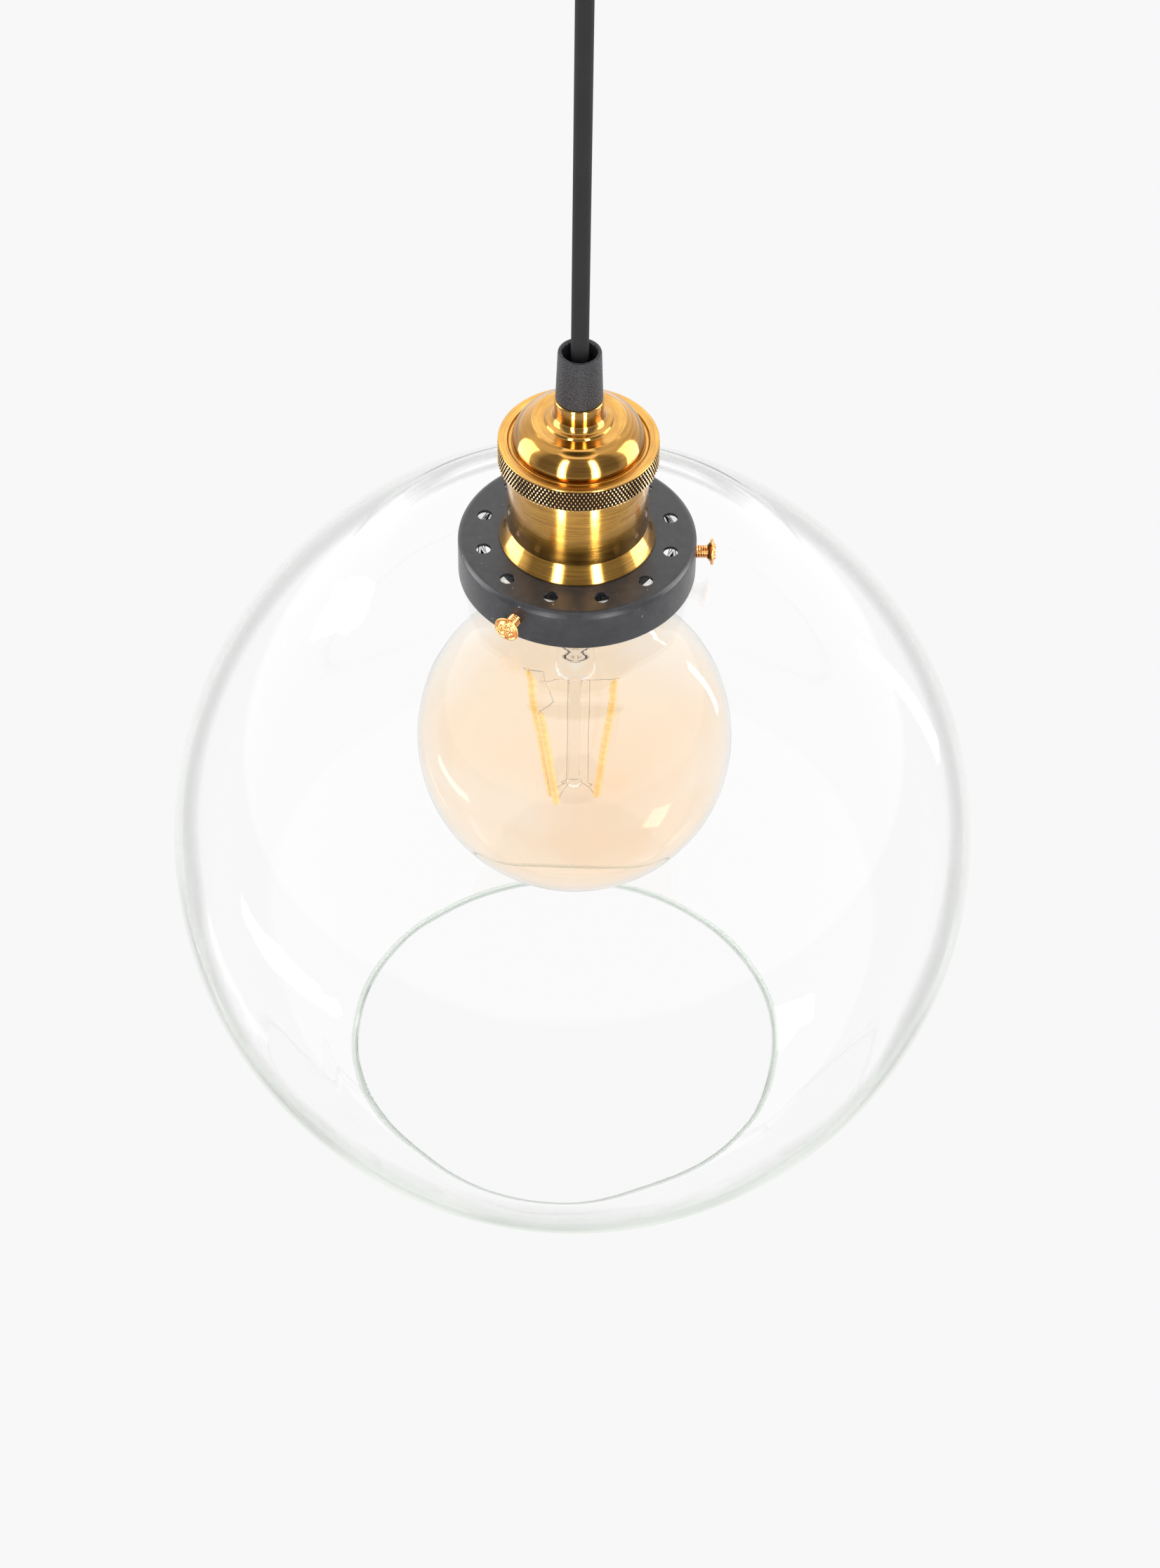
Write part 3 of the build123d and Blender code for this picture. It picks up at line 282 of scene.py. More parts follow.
def antique_brass():
    """Lacquered brass: brushed round the axis, tarnished in patches, glossier on the dome."""
    finish = Finish(
        "antique_brass", (0.3, 0.14, 0.02), 0.26, Metallic=1.0, Anisotropic=0.85,
        Anisotropic_Rotation=0.25, Coat_Weight=0.5, Coat_Roughness=0.1
    )
    tangent = finish.add("ShaderNodeTangent", direction_type="RADIAL", axis="Z")
    finish.link(tangent.outputs[0], finish.shader.inputs["Tangent"])
    lines = finish.noise(1.0, 4.0, finish.round_place(2.5, 5200))
    bands = finish.noise(1.0, 2.0, finish.round_place(1.2, 900))
    cloud = finish.noise(160, 4.0)
    polish = finish.add("ShaderNodeAttribute", attribute_name="polish").outputs["Fac"]
    fine = finish.ramp(lines, (0.3, (0.3, 0.14, 0.018)), (0.7, (0.65, 0.358, 0.066)))
    broad = finish.ramp(bands, (0.35, (0.36, 0.172, 0.022)), (0.65, (0.61, 0.332, 0.06)))
    tarnish = finish.ramp(cloud, (0.3, (0.72, 0.64, 0.54)), (0.62, (1.0, 1.0, 1.0)))
    brushed = finish.blend(0.5, finish.blend(0.4, fine, broad), tarnish, "MULTIPLY")
    smooth = finish.ramp(bands, (0.3, (0.28, 0.132, 0.018)), (0.7, (0.41, 0.203, 0.031)))
    finish.colour(finish.blend(polish, brushed, smooth))
    rough = finish.ramp(lines, (0.25, 0.14), (0.75, 0.2))
    finish.link(finish.blend(polish, rough, finish.ramp(cloud, (0.3, 0.1), (0.7, 0.16))),
                finish.shader.inputs["Roughness"])
    return finish.bump((lines, 0.00005, 0.07), (bands, 0.0001, 0.03)).material


def knurled_brass():
    """The same brass, dark in the valleys from patina and painted shade, and worn bright on the
    diamond points.
    """
    finish = Finish("knurled_brass", (0.5, 0.3, 0.08), 0.3, Metallic=1.0)
    cloud = finish.noise(700, 3.0)
    depth = finish.add("ShaderNodeAttribute", attribute_name="valley")
    # Painted shade: the colour falls to near black with the depth of the knurl, on top of its
    # patina.
    wear_and_shade = ((0.06, (0.85, 0.66, 0.4)), (0.27, (0.26, 0.16, 0.06)), (0.46, (0.008, 0.005, 0.003)))
    dark = finish.ramp(depth.outputs["Fac"], *wear_and_shade)
    spots = finish.ramp(cloud, (0.35, (0.7, 0.6, 0.5)), (0.65, (1.0, 1.0, 1.0)))
    finish.colour(finish.blend(0.5, dark, spots, "MULTIPLY"))
    finish.roughness(cloud, 0.25, 0.42)
    return finish.bump((cloud, 0.00004, 0.2)).material


def plated(name, light, dark, low=0.12, high=0.3):
    """A bright plated or machined metal with faint marks of handling."""
    finish = Finish(name, light, low, Metallic=1.0)
    cloud = finish.noise(900, 5.0)
    scratches = finish.noise(1.0, 3.0, finish.place((3000, 260, 260)))
    finish.colour(finish.ramp(cloud, (0.3, dark), (0.6, light)))
    finish.roughness(scratches, low, high)
    return finish.bump((cloud, 0.00003, 0.15), (scratches, 0.00003, 0.12)).material


def powder_coat():
    """Satin black powder coat: a fine pimpled skin with tiny pale specks of dust."""
    finish = Finish("black_powder_coat", (0.014, 0.014, 0.016), 0.42, Specular_IOR_Level=0.38)
    grain = finish.noise(2600, 4.0)
    swell = finish.noise(420, 3.0)
    specks = finish.noise(1300, 1.0)
    base = finish.ramp(swell, (0.3, (0.011, 0.011, 0.013)), (0.7, (0.018, 0.018, 0.02)))
    dust = finish.ramp(specks, (0.765, 0.0), (0.8, 1.0))
    pale = finish.ramp(grain, (0.0, (0.22, 0.21, 0.2)), (1.0, (0.3, 0.29, 0.28)))
    finish.colour(finish.blend(dust, base, pale))
    finish.roughness(grain, 0.26, 0.4)
    return finish.bump((grain, 0.00004, 0.25), (swell, 0.0002, 0.1)).material


def moulded(name, light, dark, grain_scale=900, grain_depth=4e-5, low=0.45, high=0.65):
    """A moulded plastic with an even grain and slight clouding of its colour."""
    finish = Finish(name, light, low)
    grain = finish.noise(grain_scale, 3.0)
    cloud = finish.noise(300, 3.0)
    finish.colour(finish.ramp(cloud, (0.3, dark), (0.7, light)))
    finish.roughness(grain, low, high)
    return finish.bump((grain, grain_depth, 0.6), (cloud, 0.0002, 0.06)).material


def grip_plastic():
    """Charcoal plastic with the coarse leathery grain of a cord grip."""
    finish = Finish("black_plastic", (0.014, 0.014, 0.017), 0.42, Specular_IOR_Level=0.3)
    pebbles = finish.cells(2100)
    grain = finish.noise(3600, 4.0)
    finish.colour(finish.ramp(pebbles, (0.1, (0.024, 0.024, 0.028)), (0.6, (0.005, 0.005, 0.007))))
    finish.roughness(grain, 0.32, 0.55)
    return finish.bump((pebbles, 0.0003, 0.55), (grain, 0.0001, 0.4)).material


def cord_sheath():
    """Smooth matt black sheath, very slightly waved along its length."""
    finish = Finish("black_cord", (0.012, 0.012, 0.012), 0.75, Specular_IOR_Level=0.12)
    waves = finish.noise(1.0, 2.0, finish.place((90, 90, 45)))
    grain = finish.noise(2400, 3.0)
    shades = ((0.3, (0.008, 0.008, 0.0082)), (0.7, (0.0095, 0.0095, 0.0097)))
    finish.colour(finish.ramp(waves, *shades))
    finish.roughness(grain, 0.55, 0.7)
    return finish.bump((waves, 0.0004, 0.08), (grain, 0.00003, 0.2)).material


def clear_glass():
    """Blown glass whose surface waves a little, faintly grey-green inside its wall."""
    finish = Finish("clear_glass", (1, 1, 1), 0.0, Transmission_Weight=1.0, IOR=1.45)
    finish.bump((finish.noise(14, 2.0), 0.004, 0.02))
    share = finish.ramp(finish.facing(), (0.72, 0.0), (0.9, 0.85))
    height = finish.rise(GLOBE_Z - 0.08, GLOBE_Z + 0.02)
    tint = finish.ramp(height, (0.0, (0.965, 0.984, 0.952)), (1.0, (0.997, 0.998, 0.996)))
    finish.see_through(share, tint)
    finish.clear_shadows((0.985, 0.99, 0.987))
    volume = finish.add("ShaderNodeVolumeAbsorption")
    volume.inputs["Color"].default_value = (0.35, 0.5, 0.38, 1)
    volume.inputs["Density"].default_value = 1.4
    finish.link(volume.outputs[0], finish.tree.nodes["Material Output"].inputs["Volume"])
    return finish.material


def amber_glass():
    """Thin glass with an amber wash: deep round the belly, patchy, pale toward the neck, and paler
    toward its outline as a painted reflection.
    """
    finish = Finish("amber_glass", (1.0, 0.87, 0.75), 0.0, Transmission_Weight=1.0, IOR=1.45)
    height = finish.rise(BULB_Z + 0.002, BULB_Z + 0.042, 0.75)
    patches = maths(finish.tree, "MULTIPLY_ADD", finish.noise(26, 1.5), 0.9, -0.45)
    # Facing makes the glass paler toward its outline: a painted reflection.
    total = maths(finish.tree, "ADD", height, finish.facing())
    uneven = maths(finish.tree, "ADD", total, patches)
    amber_and_reflection = (
        (0.05, (1.0, 0.808, 0.6)),
        (0.3, (1.0, 0.857, 0.7)),
        (0.38, (1.0, 0.912, 0.815)),
        (0.8, (1.0, 0.965, 0.91)),
    )
    finish.colour(finish.ramp(uneven, *amber_and_reflection))
    finish.bump((finish.noise(24, 2.0), 0.003, 0.02))
    finish.clear_shadows((0.99, 0.93, 0.86))
    return finish.material


def ceramic():
    """White electrical porcelain under a thin glaze."""
    finish = Finish("white_ceramic", (0.8, 0.77, 0.71), 0.25, Coat_Weight=0.3)
    cloud = finish.noise(240, 4.0)
    finish.colour(finish.ramp(cloud, (0.35, (0.72, 0.69, 0.62)), (0.65, (0.82, 0.8, 0.74))))
    finish.roughness(cloud, 0.2, 0.4)
    return finish.bump((cloud, 0.0002, 0.1)).material


def phosphor():
    """Yellow silicone phosphor over a row of unlit chips, with a faint painted glow."""
    finish = Finish("yellow_phosphor", (0.6, 0.44, 0.15), 0.5)
    chips = finish.noise(1.0, 1.0, finish.place((300, 300, 900)))
    finish.colour(finish.ramp(chips, (0.35, (0.56, 0.38, 0.11)), (0.65, (0.66, 0.48, 0.18))))
    # Painted glow: the unlit filament gives off a little light.
    finish.set("Emission Color", (1.0, 0.66, 0.27, 1))
    finish.set("Emission Strength", 0.06)
    return finish.bump((chips, 0.0002, 0.2)).material


def ground_glass():
    """The cut edge of the glass: opaque, matt and pale, slightly green, with a faint painted glow.
    """
    finish = Finish("ground_glass", (0.9, 0.93, 0.9), 0.6, Specular_IOR_Level=0.3)
    grit = finish.noise(1600, 4.0)
    finish.colour(finish.ramp(grit, (0.35, (0.78, 0.83, 0.79)), (0.65, (0.93, 0.96, 0.93))))
    # Painted glow: the edge gives off a little light of its own.
    finish.set("Emission Color", (0.9, 1.0, 0.92, 1))
    finish.set("Emission Strength", 0.12)
    finish.roughness(grit, 0.5, 0.75)
    return finish.bump((grit, 0.0002, 0.4)).material


def floor_paint():
    """A pale floor that gives off its own even light and takes no shadow."""
    finish = Finish("studio_white", (0, 0, 0), 1.0, Specular_IOR_Level=0.0)
    finish.set("Emission Color", (1, 1, 1, 1))
    finish.set("Emission Strength", FLOOR_GREY)
    return finish.material


MATERIALS = {
    "antique_brass": antique_brass(),
    "knurled_brass": knurled_brass(),
    "copper_gold": plated("copper_gold", (0.86, 0.42, 0.15), (0.66, 0.27, 0.075)),
    "bright_brass": plated("bright_brass", (0.72, 0.5, 0.18), (0.5, 0.32, 0.1)),
    "zinc_steel": plated("zinc_steel", (0.6, 0.61, 0.62), (0.42, 0.43, 0.44), 0.22, 0.42),
    "nickel_plate": plated("nickel_plate", (0.62, 0.6, 0.56), (0.45, 0.43, 0.4), 0.14, 0.3),
    "black_powder_coat": powder_coat(),
    "black_plastic": grip_plastic(),
    "black_cord": cord_sheath(),
    "clear_glass": clear_glass(),
    "amber_glass": amber_glass(),
    "ground_glass": ground_glass(),
    "white_ceramic": ceramic(),
    "yellow_phosphor": phosphor(),
    "white_plastic": moulded("white_plastic", (0.74, 0.73, 0.68), (0.68, 0.67, 0.61), 1400, 8e-5),
    "brown_insulation": moulded("brown_insulation", (0.1, 0.035, 0.014), (0.075, 0.026, 0.01)),
    "blue_insulation": moulded("blue_insulation", (0.03, 0.11, 0.33), (0.022, 0.085, 0.26)),
    "green_insulation": moulded("green_insulation", (0.12, 0.29, 0.03), (0.09, 0.22, 0.02)),
    "black_glass": moulded(
        "black_glass", (0.012, 0.01, 0.008), (0.006, 0.005, 0.004), 500, low=0.08, high=0.2
    ),
    "circuit_board": moulded("circuit_board", (0.66, 0.63, 0.5), (0.56, 0.53, 0.4), 1600, 6e-5),
}


# ---------------------------------------------------------------- mesh helpers


CORNER_STEPS = 4


def smooth_corner(before, corner, after, rounding):
    """Replace an outline's corner by a short curve."""
    b, c, a = Vector(before[:2]), Vector(corner[:2]), Vector(after[:2])
    start = c + (b - c).normalized() * min(rounding, 0.45 * (b - c).length)
    end = c + (a - c).normalized() * min(rounding, 0.45 * (a - c).length)
    points = []
    for step in range(CORNER_STEPS + 1):
        t = step / CORNER_STEPS
        points.append(start * (1 - t) ** 2 + c * 2 * t * (1 - t) + end * t**2)
    return [tuple(point) for point in points]


def outline(corners, closed=True):
    """Round the corners that carry a third value."""
    points = []
    count = len(corners)
    for index, corner in enumerate(corners):
        inner = closed or 0 < index < count - 1
        if len(corner) == 3 and inner:
            after = corners[(index + 1) % count]
            points += smooth_corner(corners[index - 1], corner, after, corner[2])
        else:
            points.append(tuple(corner[:2]))
    return points


def arc(centre, radius, start, end, steps):
    """Points on an arc of an outline; angles in degrees from the outward radius."""
    result = []
    for step in range(steps + 1):
        angle = math.radians(start + (end - start) * step / steps)
        x, y = radius * math.cos(angle), radius * math.sin(angle)
        result.append((centre[0] + x, centre[1] + y))
    return result


def curve(points, steps):
    """A smooth Catmull-Rom curve through the points, ends included."""
    pts = [Vector(p) for p in points]
    pts = [2 * pts[0] - pts[1]] + pts + [2 * pts[-1] - pts[-2]]
    result = []
    for i in range(1, len(pts) - 2):
        p0, p1, p2, p3 = pts[i - 1 : i + 3]
        for step in range(steps):
            t = step / steps
            bend = (2 * p0 - 5 * p1 + 4 * p2 - p3) * t**2 + (3 * p1 - p0 - 3 * p2 + p3) * t**3
            result.append(tuple(0.5 * (2 * p1 + (p2 - p0) * t + bend)))
    result.append(tuple(pts[-2]))
    return result


def inner_skin(points, thickness):
    """The inside, from top to bottom, of a wall whose outside runs upward through the points."""
    result = []
    for index, point in enumerate(points):
        before = Vector(points[max(0, index - 1)])
        after = Vector(points[min(len(points) - 1, index + 1)])
        along = (after - before).normalized()
        result.append((point[0] - along.y * thickness, point[1] + along.x * thickness))
    return result[::-1]


def finish_mesh(name, mesh, material, sharp=32):
    """Clean a new mesh, shade it smooth apart from its sharp edges and show it."""
    work = bmesh.new()
    work.from_mesh(mesh)
    bmesh.ops.remove_doubles(work, verts=work.verts, dist=1e-7)
    bmesh.ops.dissolve_degenerate(work, edges=work.edges, dist=1e-8)
    bmesh.ops.recalc_face_normals(work, faces=work.faces)
    work.to_mesh(mesh)
    work.free()
    mesh.shade_smooth()
    mesh.set_sharp_from_angle(angle=math.radians(sharp))
    mesh.materials.append(MATERIALS[material])
    return show(name, mesh)


def turned(name, points, base_z, material, segments=160, relief=None, closed=True, sharp=32):
    """Turn an outline round the vertical axis; relief may move each point of each line."""
    vertices = []
    for segment in range(segments):
        angle = TURN * segment / segments
        for radius, height in points:
            move = relief(angle, radius, height) if relief else (0, 0)
            reach = (radius + move[0]) * MM
            level = base_z + (height + move[1]) * MM
            vertices.append((reach * math.cos(angle), reach * math.sin(angle), level))
    count = len(points)
    rows = count if closed else count - 1
    faces = []
    for segment in range(segments):
        here, there = segment * count, (segment + 1) % segments * count
        for row in range(rows):
            up = (row + 1) % count
            faces.append((here + row, there + row, there + up, here + up))
    mesh = bpy.data.meshes.new(name)
    mesh.from_pydata(vertices, [], faces)
    return finish_mesh(name, mesh, material, sharp)


def aim(piece, origin, direction):
    """Turn a piece's mesh from +Z to a direction and move it to an origin."""
    turn = Vector((0, 0, 1)).rotation_difference(Vector(direction)).to_matrix().to_4x4()
    piece.data.transform(Matrix.Translation(Vector(origin)) @ turn)
    return piece


def stands_for(piece, body, slot, *replaced):
    """Tie a new piece to its body and hide the CAD nodes that it stands for. The slot is not used.
    """
    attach(piece, body)
    if replaced:
        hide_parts(*replaced)
    return piece


def wire_curve(name, routes, radius, material, kind="POLY", resolution=3):
    """Round wires, one spline for each route of points in metres."""
    data = bpy.data.curves.new(name, "CURVE")
    data.dimensions = "3D"
    data.bevel_depth = radius
    data.bevel_resolution = resolution
    data.use_fill_caps = True
    for route in routes:
        spline = data.splines.new(kind)
        spline.points.add(len(route) - 1)
        for point, place in zip(spline.points, route):
            point.co = (*place, 1)
    data.materials.append(MATERIALS[material])
    return show(name, data)


# ---------------------------------------------------------------- CAD nodes

for entry in frame["record"]["subparts"]:
    mesh = nodes[entry["node"]].data
    mesh.materials.clear()
    mesh.materials.append(MATERIALS[entry["material_slot"]])


# ---------------------------------------------------------------- cord

CORD_DIAMETER = 0.005
CORD_ROUTE = (
    (0, 0, -0.0379),
    (0, 0, -0.0679),
    (0, 0, -0.1166),
    (0, 0, -0.1654),
    (0, 0, -0.1954),
)


def make_cord():
    """The straight stretch of cord that carries the lamp."""
    radius = CORD_DIAMETER / 2
    cord = wire_curve("hanging_cord", [CORD_ROUTE], radius, "black_cord", "NURBS", 10)
    spline = cord.data.splines[0]
    spline.order_u = 3
    spline.use_endpoint_u = True
    stands_for(cord, "cord", "black_cord", "supply_cord")


make_cord()


# ---------------------------------------------------------------- brass lampholder

KNURL_COUNT = 122
KNURL_PITCH = 2.1
KNURL_DEPTH = 0.55
KNURL_BOTTOM = 0.15
KNURL_TOP = 7.2
CAP_EDGE = 23.0
SKIRT_RADIUS = 19.8
SKIRT_PITCH = 1.6
SKIRT_DEPTH = 0.18


def zigzag(value):
    """A wave of straight flanks, 0 in the groove and 1 on the ridge."""
    return 1 - abs(2 * (value % 1) - 1)


def diamond(angle, height):
    """Depth of the knurl below its points, from 0 to 1."""
    around = angle / TURN * KNURL_COUNT
    along = height / KNURL_PITCH
    ridge = min(zigzag(around + along), zigzag(around - along))
    return 1 - min(1.0, ridge * 1.25)


def mark(piece, name, measure):
    """Store a number on each vertex for the material to read."""
    layer = piece.data.attributes.new(name, "FLOAT", "POINT")
    for vertex, entry in zip(piece.data.vertices, layer.data):
        entry.value = measure(vertex.co)


def make_cap():
    """Holder cap: collar, flared step, crown and dome, with a band of diamond knurling."""
    dome = curve([(18.95, 7.0), (18.7, 8.9), (17.6, 11.4), (15.9, 13.3), (13.8, 14.4)], 6)
    steps = 32
    band = [
        (CAP_EDGE, KNURL_BOTTOM + (KNURL_TOP - KNURL_BOTTOM) * step / steps)
        for step in range(steps + 1)
    ]
    smooth_part = outline(
        [
            (20.45, 6.6, 0.1),
            (22.3, 6.6, 0.05),
            (22.85, 7.0, 0.1),
            (22.85, 7.25, 0.15),
            (22.55, 7.42, 0.1),
            (20.2, 7.3, 0.12),
            (19.85, 6.6, 0.2),
            (19.05, 6.6, 0.15),
            *dome,
            (13.35, 14.72, 0.12),
            (12.9, 14.65, 0.1),
            (9.75, 14.55, 0.15),
            (9.55, 15.05, 0.15),
            (9.2, 15.3, 0.15),
            (8.2, 15.42, 0.35),
            (7.35, 16.15, 0.5),
            (7.0, 17.1, 0.3),
            (7.0, 22.2, 0.12),
            (6.75, 22.5, 0.1),
            (5.05, 22.5),
            (5.05, 13.5),
            (12.0, 13.5, 0.8),
            (15.9, 10.6, 1.5),
            (17.6, 6.0, 0.5),
            (20.45, 5.4, 0.2),
        ]
    )
    cap = turned("brass_cap", smooth_part, CAP_BASE, "antique_brass", 200)

    def polish(place):
        reach, height = math.hypot(place.x, place.y) / MM, (place.z - CAP_BASE) / MM
        if 13.4 < reach < 19.2 and 6.9 < height < 14.75:
            return 1.0
        return 0.6 if reach < 9.9 else 0.0

    mark(cap, "polish", polish)
    stands_for(cap, "lamp", "antique_brass", "holder_cap")

    def relief(angle, radius, height):
        if radius < CAP_EDGE - 0.01:
            return (0, 0)
        return (-KNURL_DEPTH * diamond(angle, height), 0)

    foot = outline([(20.5, 0.05, 0.1), (22.4, 0.0, 0.1)])
    ring = foot + band + [(22.4, 7.25), (20.5, 7.2)]
    segments = 6 * KNURL_COUNT
    rim = turned("knurled_rim", ring, CAP_BASE, "knurled_brass", segments, relief, sharp=60)

    def valley(place):
        reach, height = math.hypot(place.x, place.y) / MM, (place.z - CAP_BASE) / MM
        outside = reach > CAP_EDGE - KNURL_DEPTH - 0.01 and KNURL_BOTTOM <= height <= KNURL_TOP
        return (CAP_EDGE - reach) / KNURL_DEPTH if outside else 0.2

    # The valley depth drives the painted shade in the knurled brass colour.
    mark(rim, "valley", valley)
    stands_for(rim, "lamp", "antique_brass")


def make_body():
    """Holder body: a tube on a flared foot, with a threaded skirt below the plate."""

    def relief(angle, radius, height):
        threaded = radius > 19.6 and -10.6 < height < -5.4
        wave = zigzag(height / SKIRT_PITCH - angle / TURN)
        return (-SKIRT_DEPTH * wave if threaded else 0, 0)

    skirt = [(SKIRT_RADIUS, -10.9 + 0.2 * step) for step in range(30)]
    points = outline(
        [
            (19.0, -11.2, 0.15),
            (19.6, -11.2, 0.15),
            *skirt,
            (SKIRT_RADIUS, 0.0),
            (22.55, 0.0, 0.12),
            (22.8, 0.25, 0.15),
            (22.7, 0.65, 0.2),
            (20.15, 5.35, 0.35),
            (20.0, 5.7, 0.25),
            (20.4, 6.0, 0.25),
            (20.42, 28.0),
            (20.42, 33.1, 0.1),
            (19.6, 33.1, 0.1),
            (19.6, 1.0),
            (19.0, 1.0),
        ]
    )
    body = turned("brass_body", points, PLATE_TOP, "antique_brass", 200, relief)
    mark(body, "polish", lambda place: 0.0)
    stands_for(body, "lamp", "antique_brass", "holder_body")


make_cap()
make_body()


# ---------------------------------------------------------------- cord grips


def make_grip(name, node, body, base_z, direction):
    """Tapered cord grip with a hollow mouth, its thin rim rounded by the mould."""
    points = outline(
        [
            (5.05, 0.0, 0.1),
            (6.45, 0.0, 0.2),
            (6.7, 0.35, 0.3),
            (6.15, 15.9, 0.35),
            (5.95, 16.4, 0.3),
            (5.15, 16.4, 0.3),
            (4.83, 15.9, 0.35),
            (4.7, 9.2, 0.5),
            (2.6, 9.2, 0.2),
            (2.6, 5.6),
            (5.05, 5.6),
        ]
    )
    points = [(radius, direction * height) for radius, height in points]
    grip = turned(name, points, base_z, "black_plastic", 96)
    stands_for(grip, body, "black_plastic", node)


make_grip("lamp_cord_grip", "cord_grip_sleeve", "lamp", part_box("cord_grip_sleeve")[0].z, 1)
ceiling_grip_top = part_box("ceiling_cord_grip")[1].z
make_grip("upper_cord_grip", "ceiling_cord_grip", "ceiling", ceiling_grip_top, -1)


# ---------------------------------------------------------------- gallery plate

VENT_COUNT = 12
VENT_CIRCLE = 27.9
VENT_RADIUS = 2.15
SCREW_HOLE = 2.0
PLATE_BEVEL = 0.00018


def middle_height(node):
    """The height half-way up a CAD node."""
    low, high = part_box(node)
    return (low.z + high.z) / 2


SCREW_Z = middle_height("thumb_screw_right")


def make_plate():
    """Gallery plate: a pressed cup with a rounded edge, vents and thumb-screw holes."""
    points = outline(
        [
            (34.3, -13.1, 0.1),
            (34.6, -12.8, 0.2),
            (34.6, -1.9, 0.3),
            *arc((32.7, -1.9), 1.9, 8, 82, 8),
            (32.4, 0.0, 0.2),
            (19.85, 0.0),
            (19.85, -1.0),
            (32.6, -1.0, 0.8),
            (33.6, -2.0, 0.8),
            (33.6, -13.1, 0.1),
        ]
    )
    plate = turned("black_gallery", points, PLATE_TOP, "black_powder_coat", 240)
    cutters = []
    for index in range(VENT_COUNT):
        angle = TURN * (index + 0.5) / VENT_COUNT
        centre = Vector((math.cos(angle), math.sin(angle), 0)) * VENT_CIRCLE * MM
        drill = turned("drill", [(0, -3), (VENT_RADIUS, -3), (VENT_RADIUS, 3), (0, 3)],
                       PLATE_TOP, "black_powder_coat", 40, closed=False)
        drill.data.transform(Matrix.Translation(centre))
        cutters.append(drill)
    for index in range(3):
        angle = TURN * index / 3
        drill = turned("drill", [(0, 31), (SCREW_HOLE, 31), (SCREW_HOLE, 37), (0, 37)],
                       0, "black_powder_coat", 32, closed=False)
        aim(drill, (0, 0, SCREW_Z), (math.cos(angle), math.sin(angle), 0))
        cutters.append(drill)
    for drill in cutters:
        cut = plate.modifiers.new("drill", "BOOLEAN")
        cut.object = drill
        cut.solver = "EXACT"
    bpy.context.view_layer.update()
    shape = plate.evaluated_get(bpy.context.evaluated_depsgraph_get())
    mesh = bpy.data.meshes.new_from_object(shape)
    plate.modifiers.clear()
    plate.data = mesh
    for drill in cutters:
        bpy.data.objects.remove(drill)
    mesh.shade_smooth()
    mesh.set_sharp_from_angle(angle=math.radians(32))
    bevel = plate.modifiers.new("edge", "BEVEL")
    bevel.width = PLATE_BEVEL
    bevel.segments = 2
    bevel.limit_method = "ANGLE"
    bevel.angle_limit = math.radians(40)
    bevel.harden_normals = True
    stands_for(plate, "lamp", "black_powder_coat", "gallery_plate")


make_plate()


# ---------------------------------------------------------------- thumb screws

SCREW_PITCH = 0.7
THREAD_DEPTH = 0.22
PETALS = 5
PETAL_DEPTH = 0.3
BOSS = (
    (0.7, 1.35), (0.66, 1.62), (0.6, 1.86), (0.53, 2.03), (0.45, 2.1), (0.36, 2.06),
    (0.29, 1.92), (0.24, 1.9), (0.18, 2.05), (0.12, 2.14), (0.06, 2.17),
)


def make_screw(name, level, angle, seat, tip, shank, head):
    """A plated screw: rolled thread, dished head with a raised rim and a petal recess."""
    thread_end = seat - 0.5
    thread_length = thread_end - tip - 0.6
    steps = int(thread_length / (SCREW_PITCH / 6))
    thread = [(shank, tip + 0.6 + thread_length * step / steps) for step in range(steps + 1)]

    def relief(turn_angle, radius, height):
        if abs(radius - shank) < 1e-6 and tip + 0.5 < height < thread_end + 0.01:
            return (-THREAD_DEPTH * zigzag(height / SCREW_PITCH - turn_angle / TURN), 0)
        if 0.12 * head < radius < 0.72 * head and height > seat + 1.2:
            swell = math.sin(math.pi * (radius / head - 0.12) / 0.6)
            return (0, PETAL_DEPTH * swell * math.cos(PETALS * turn_angle))
        return (0, 0)

    points = outline(
        [
            (0, tip),
            (0.72 * shank, tip, 0.1),
            *thread,
            (shank, seat - 0.25, 0.1),
            (0.66 * head, seat + 0.25, 0.3),
            (0.76 * head, seat + 0.62, 0.15),
            (0.94 * head, seat + 0.72, 0.2),
            (head, seat + 1.05, 0.2),
            (0.985 * head, seat + 1.5, 0.15),
            (0.9 * head, seat + 1.55, 0.15),
            (0.82 * head, seat + 1.2, 0.15),
            (0.74 * head, seat + 1.15, 0.15),
            *[(head * reach, seat + rise) for reach, rise in BOSS],
            (0, seat + 2.18),
        ],
        closed=False,
    )
    screw = turned(name, points, 0, "copper_gold", 72, relief, closed=False, sharp=50)
    return aim(screw, (0, 0, level), (math.cos(angle), math.sin(angle), 0))


for index, side in enumerate(("right", "back", "front")):
    node = f"thumb_screw_{side}"
    screw = make_screw(f"screw_{side}", SCREW_Z, TURN * index / 3, 38.0, 29.65, 1.93, 3.9)
    stands_for(screw, node, "copper_gold", node)

side_z = middle_height("cup_side_screws")
side_screws = [
    make_screw(f"cup_screw_{index}", side_z, math.pi * index, 50.0, 43.9, 1.5, 3.6)
    for index in range(2)
]
for screw in side_screws:
    stands_for(screw, "ceiling", "copper_gold")
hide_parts("cup_side_screws")


# ---------------------------------------------------------------- glass

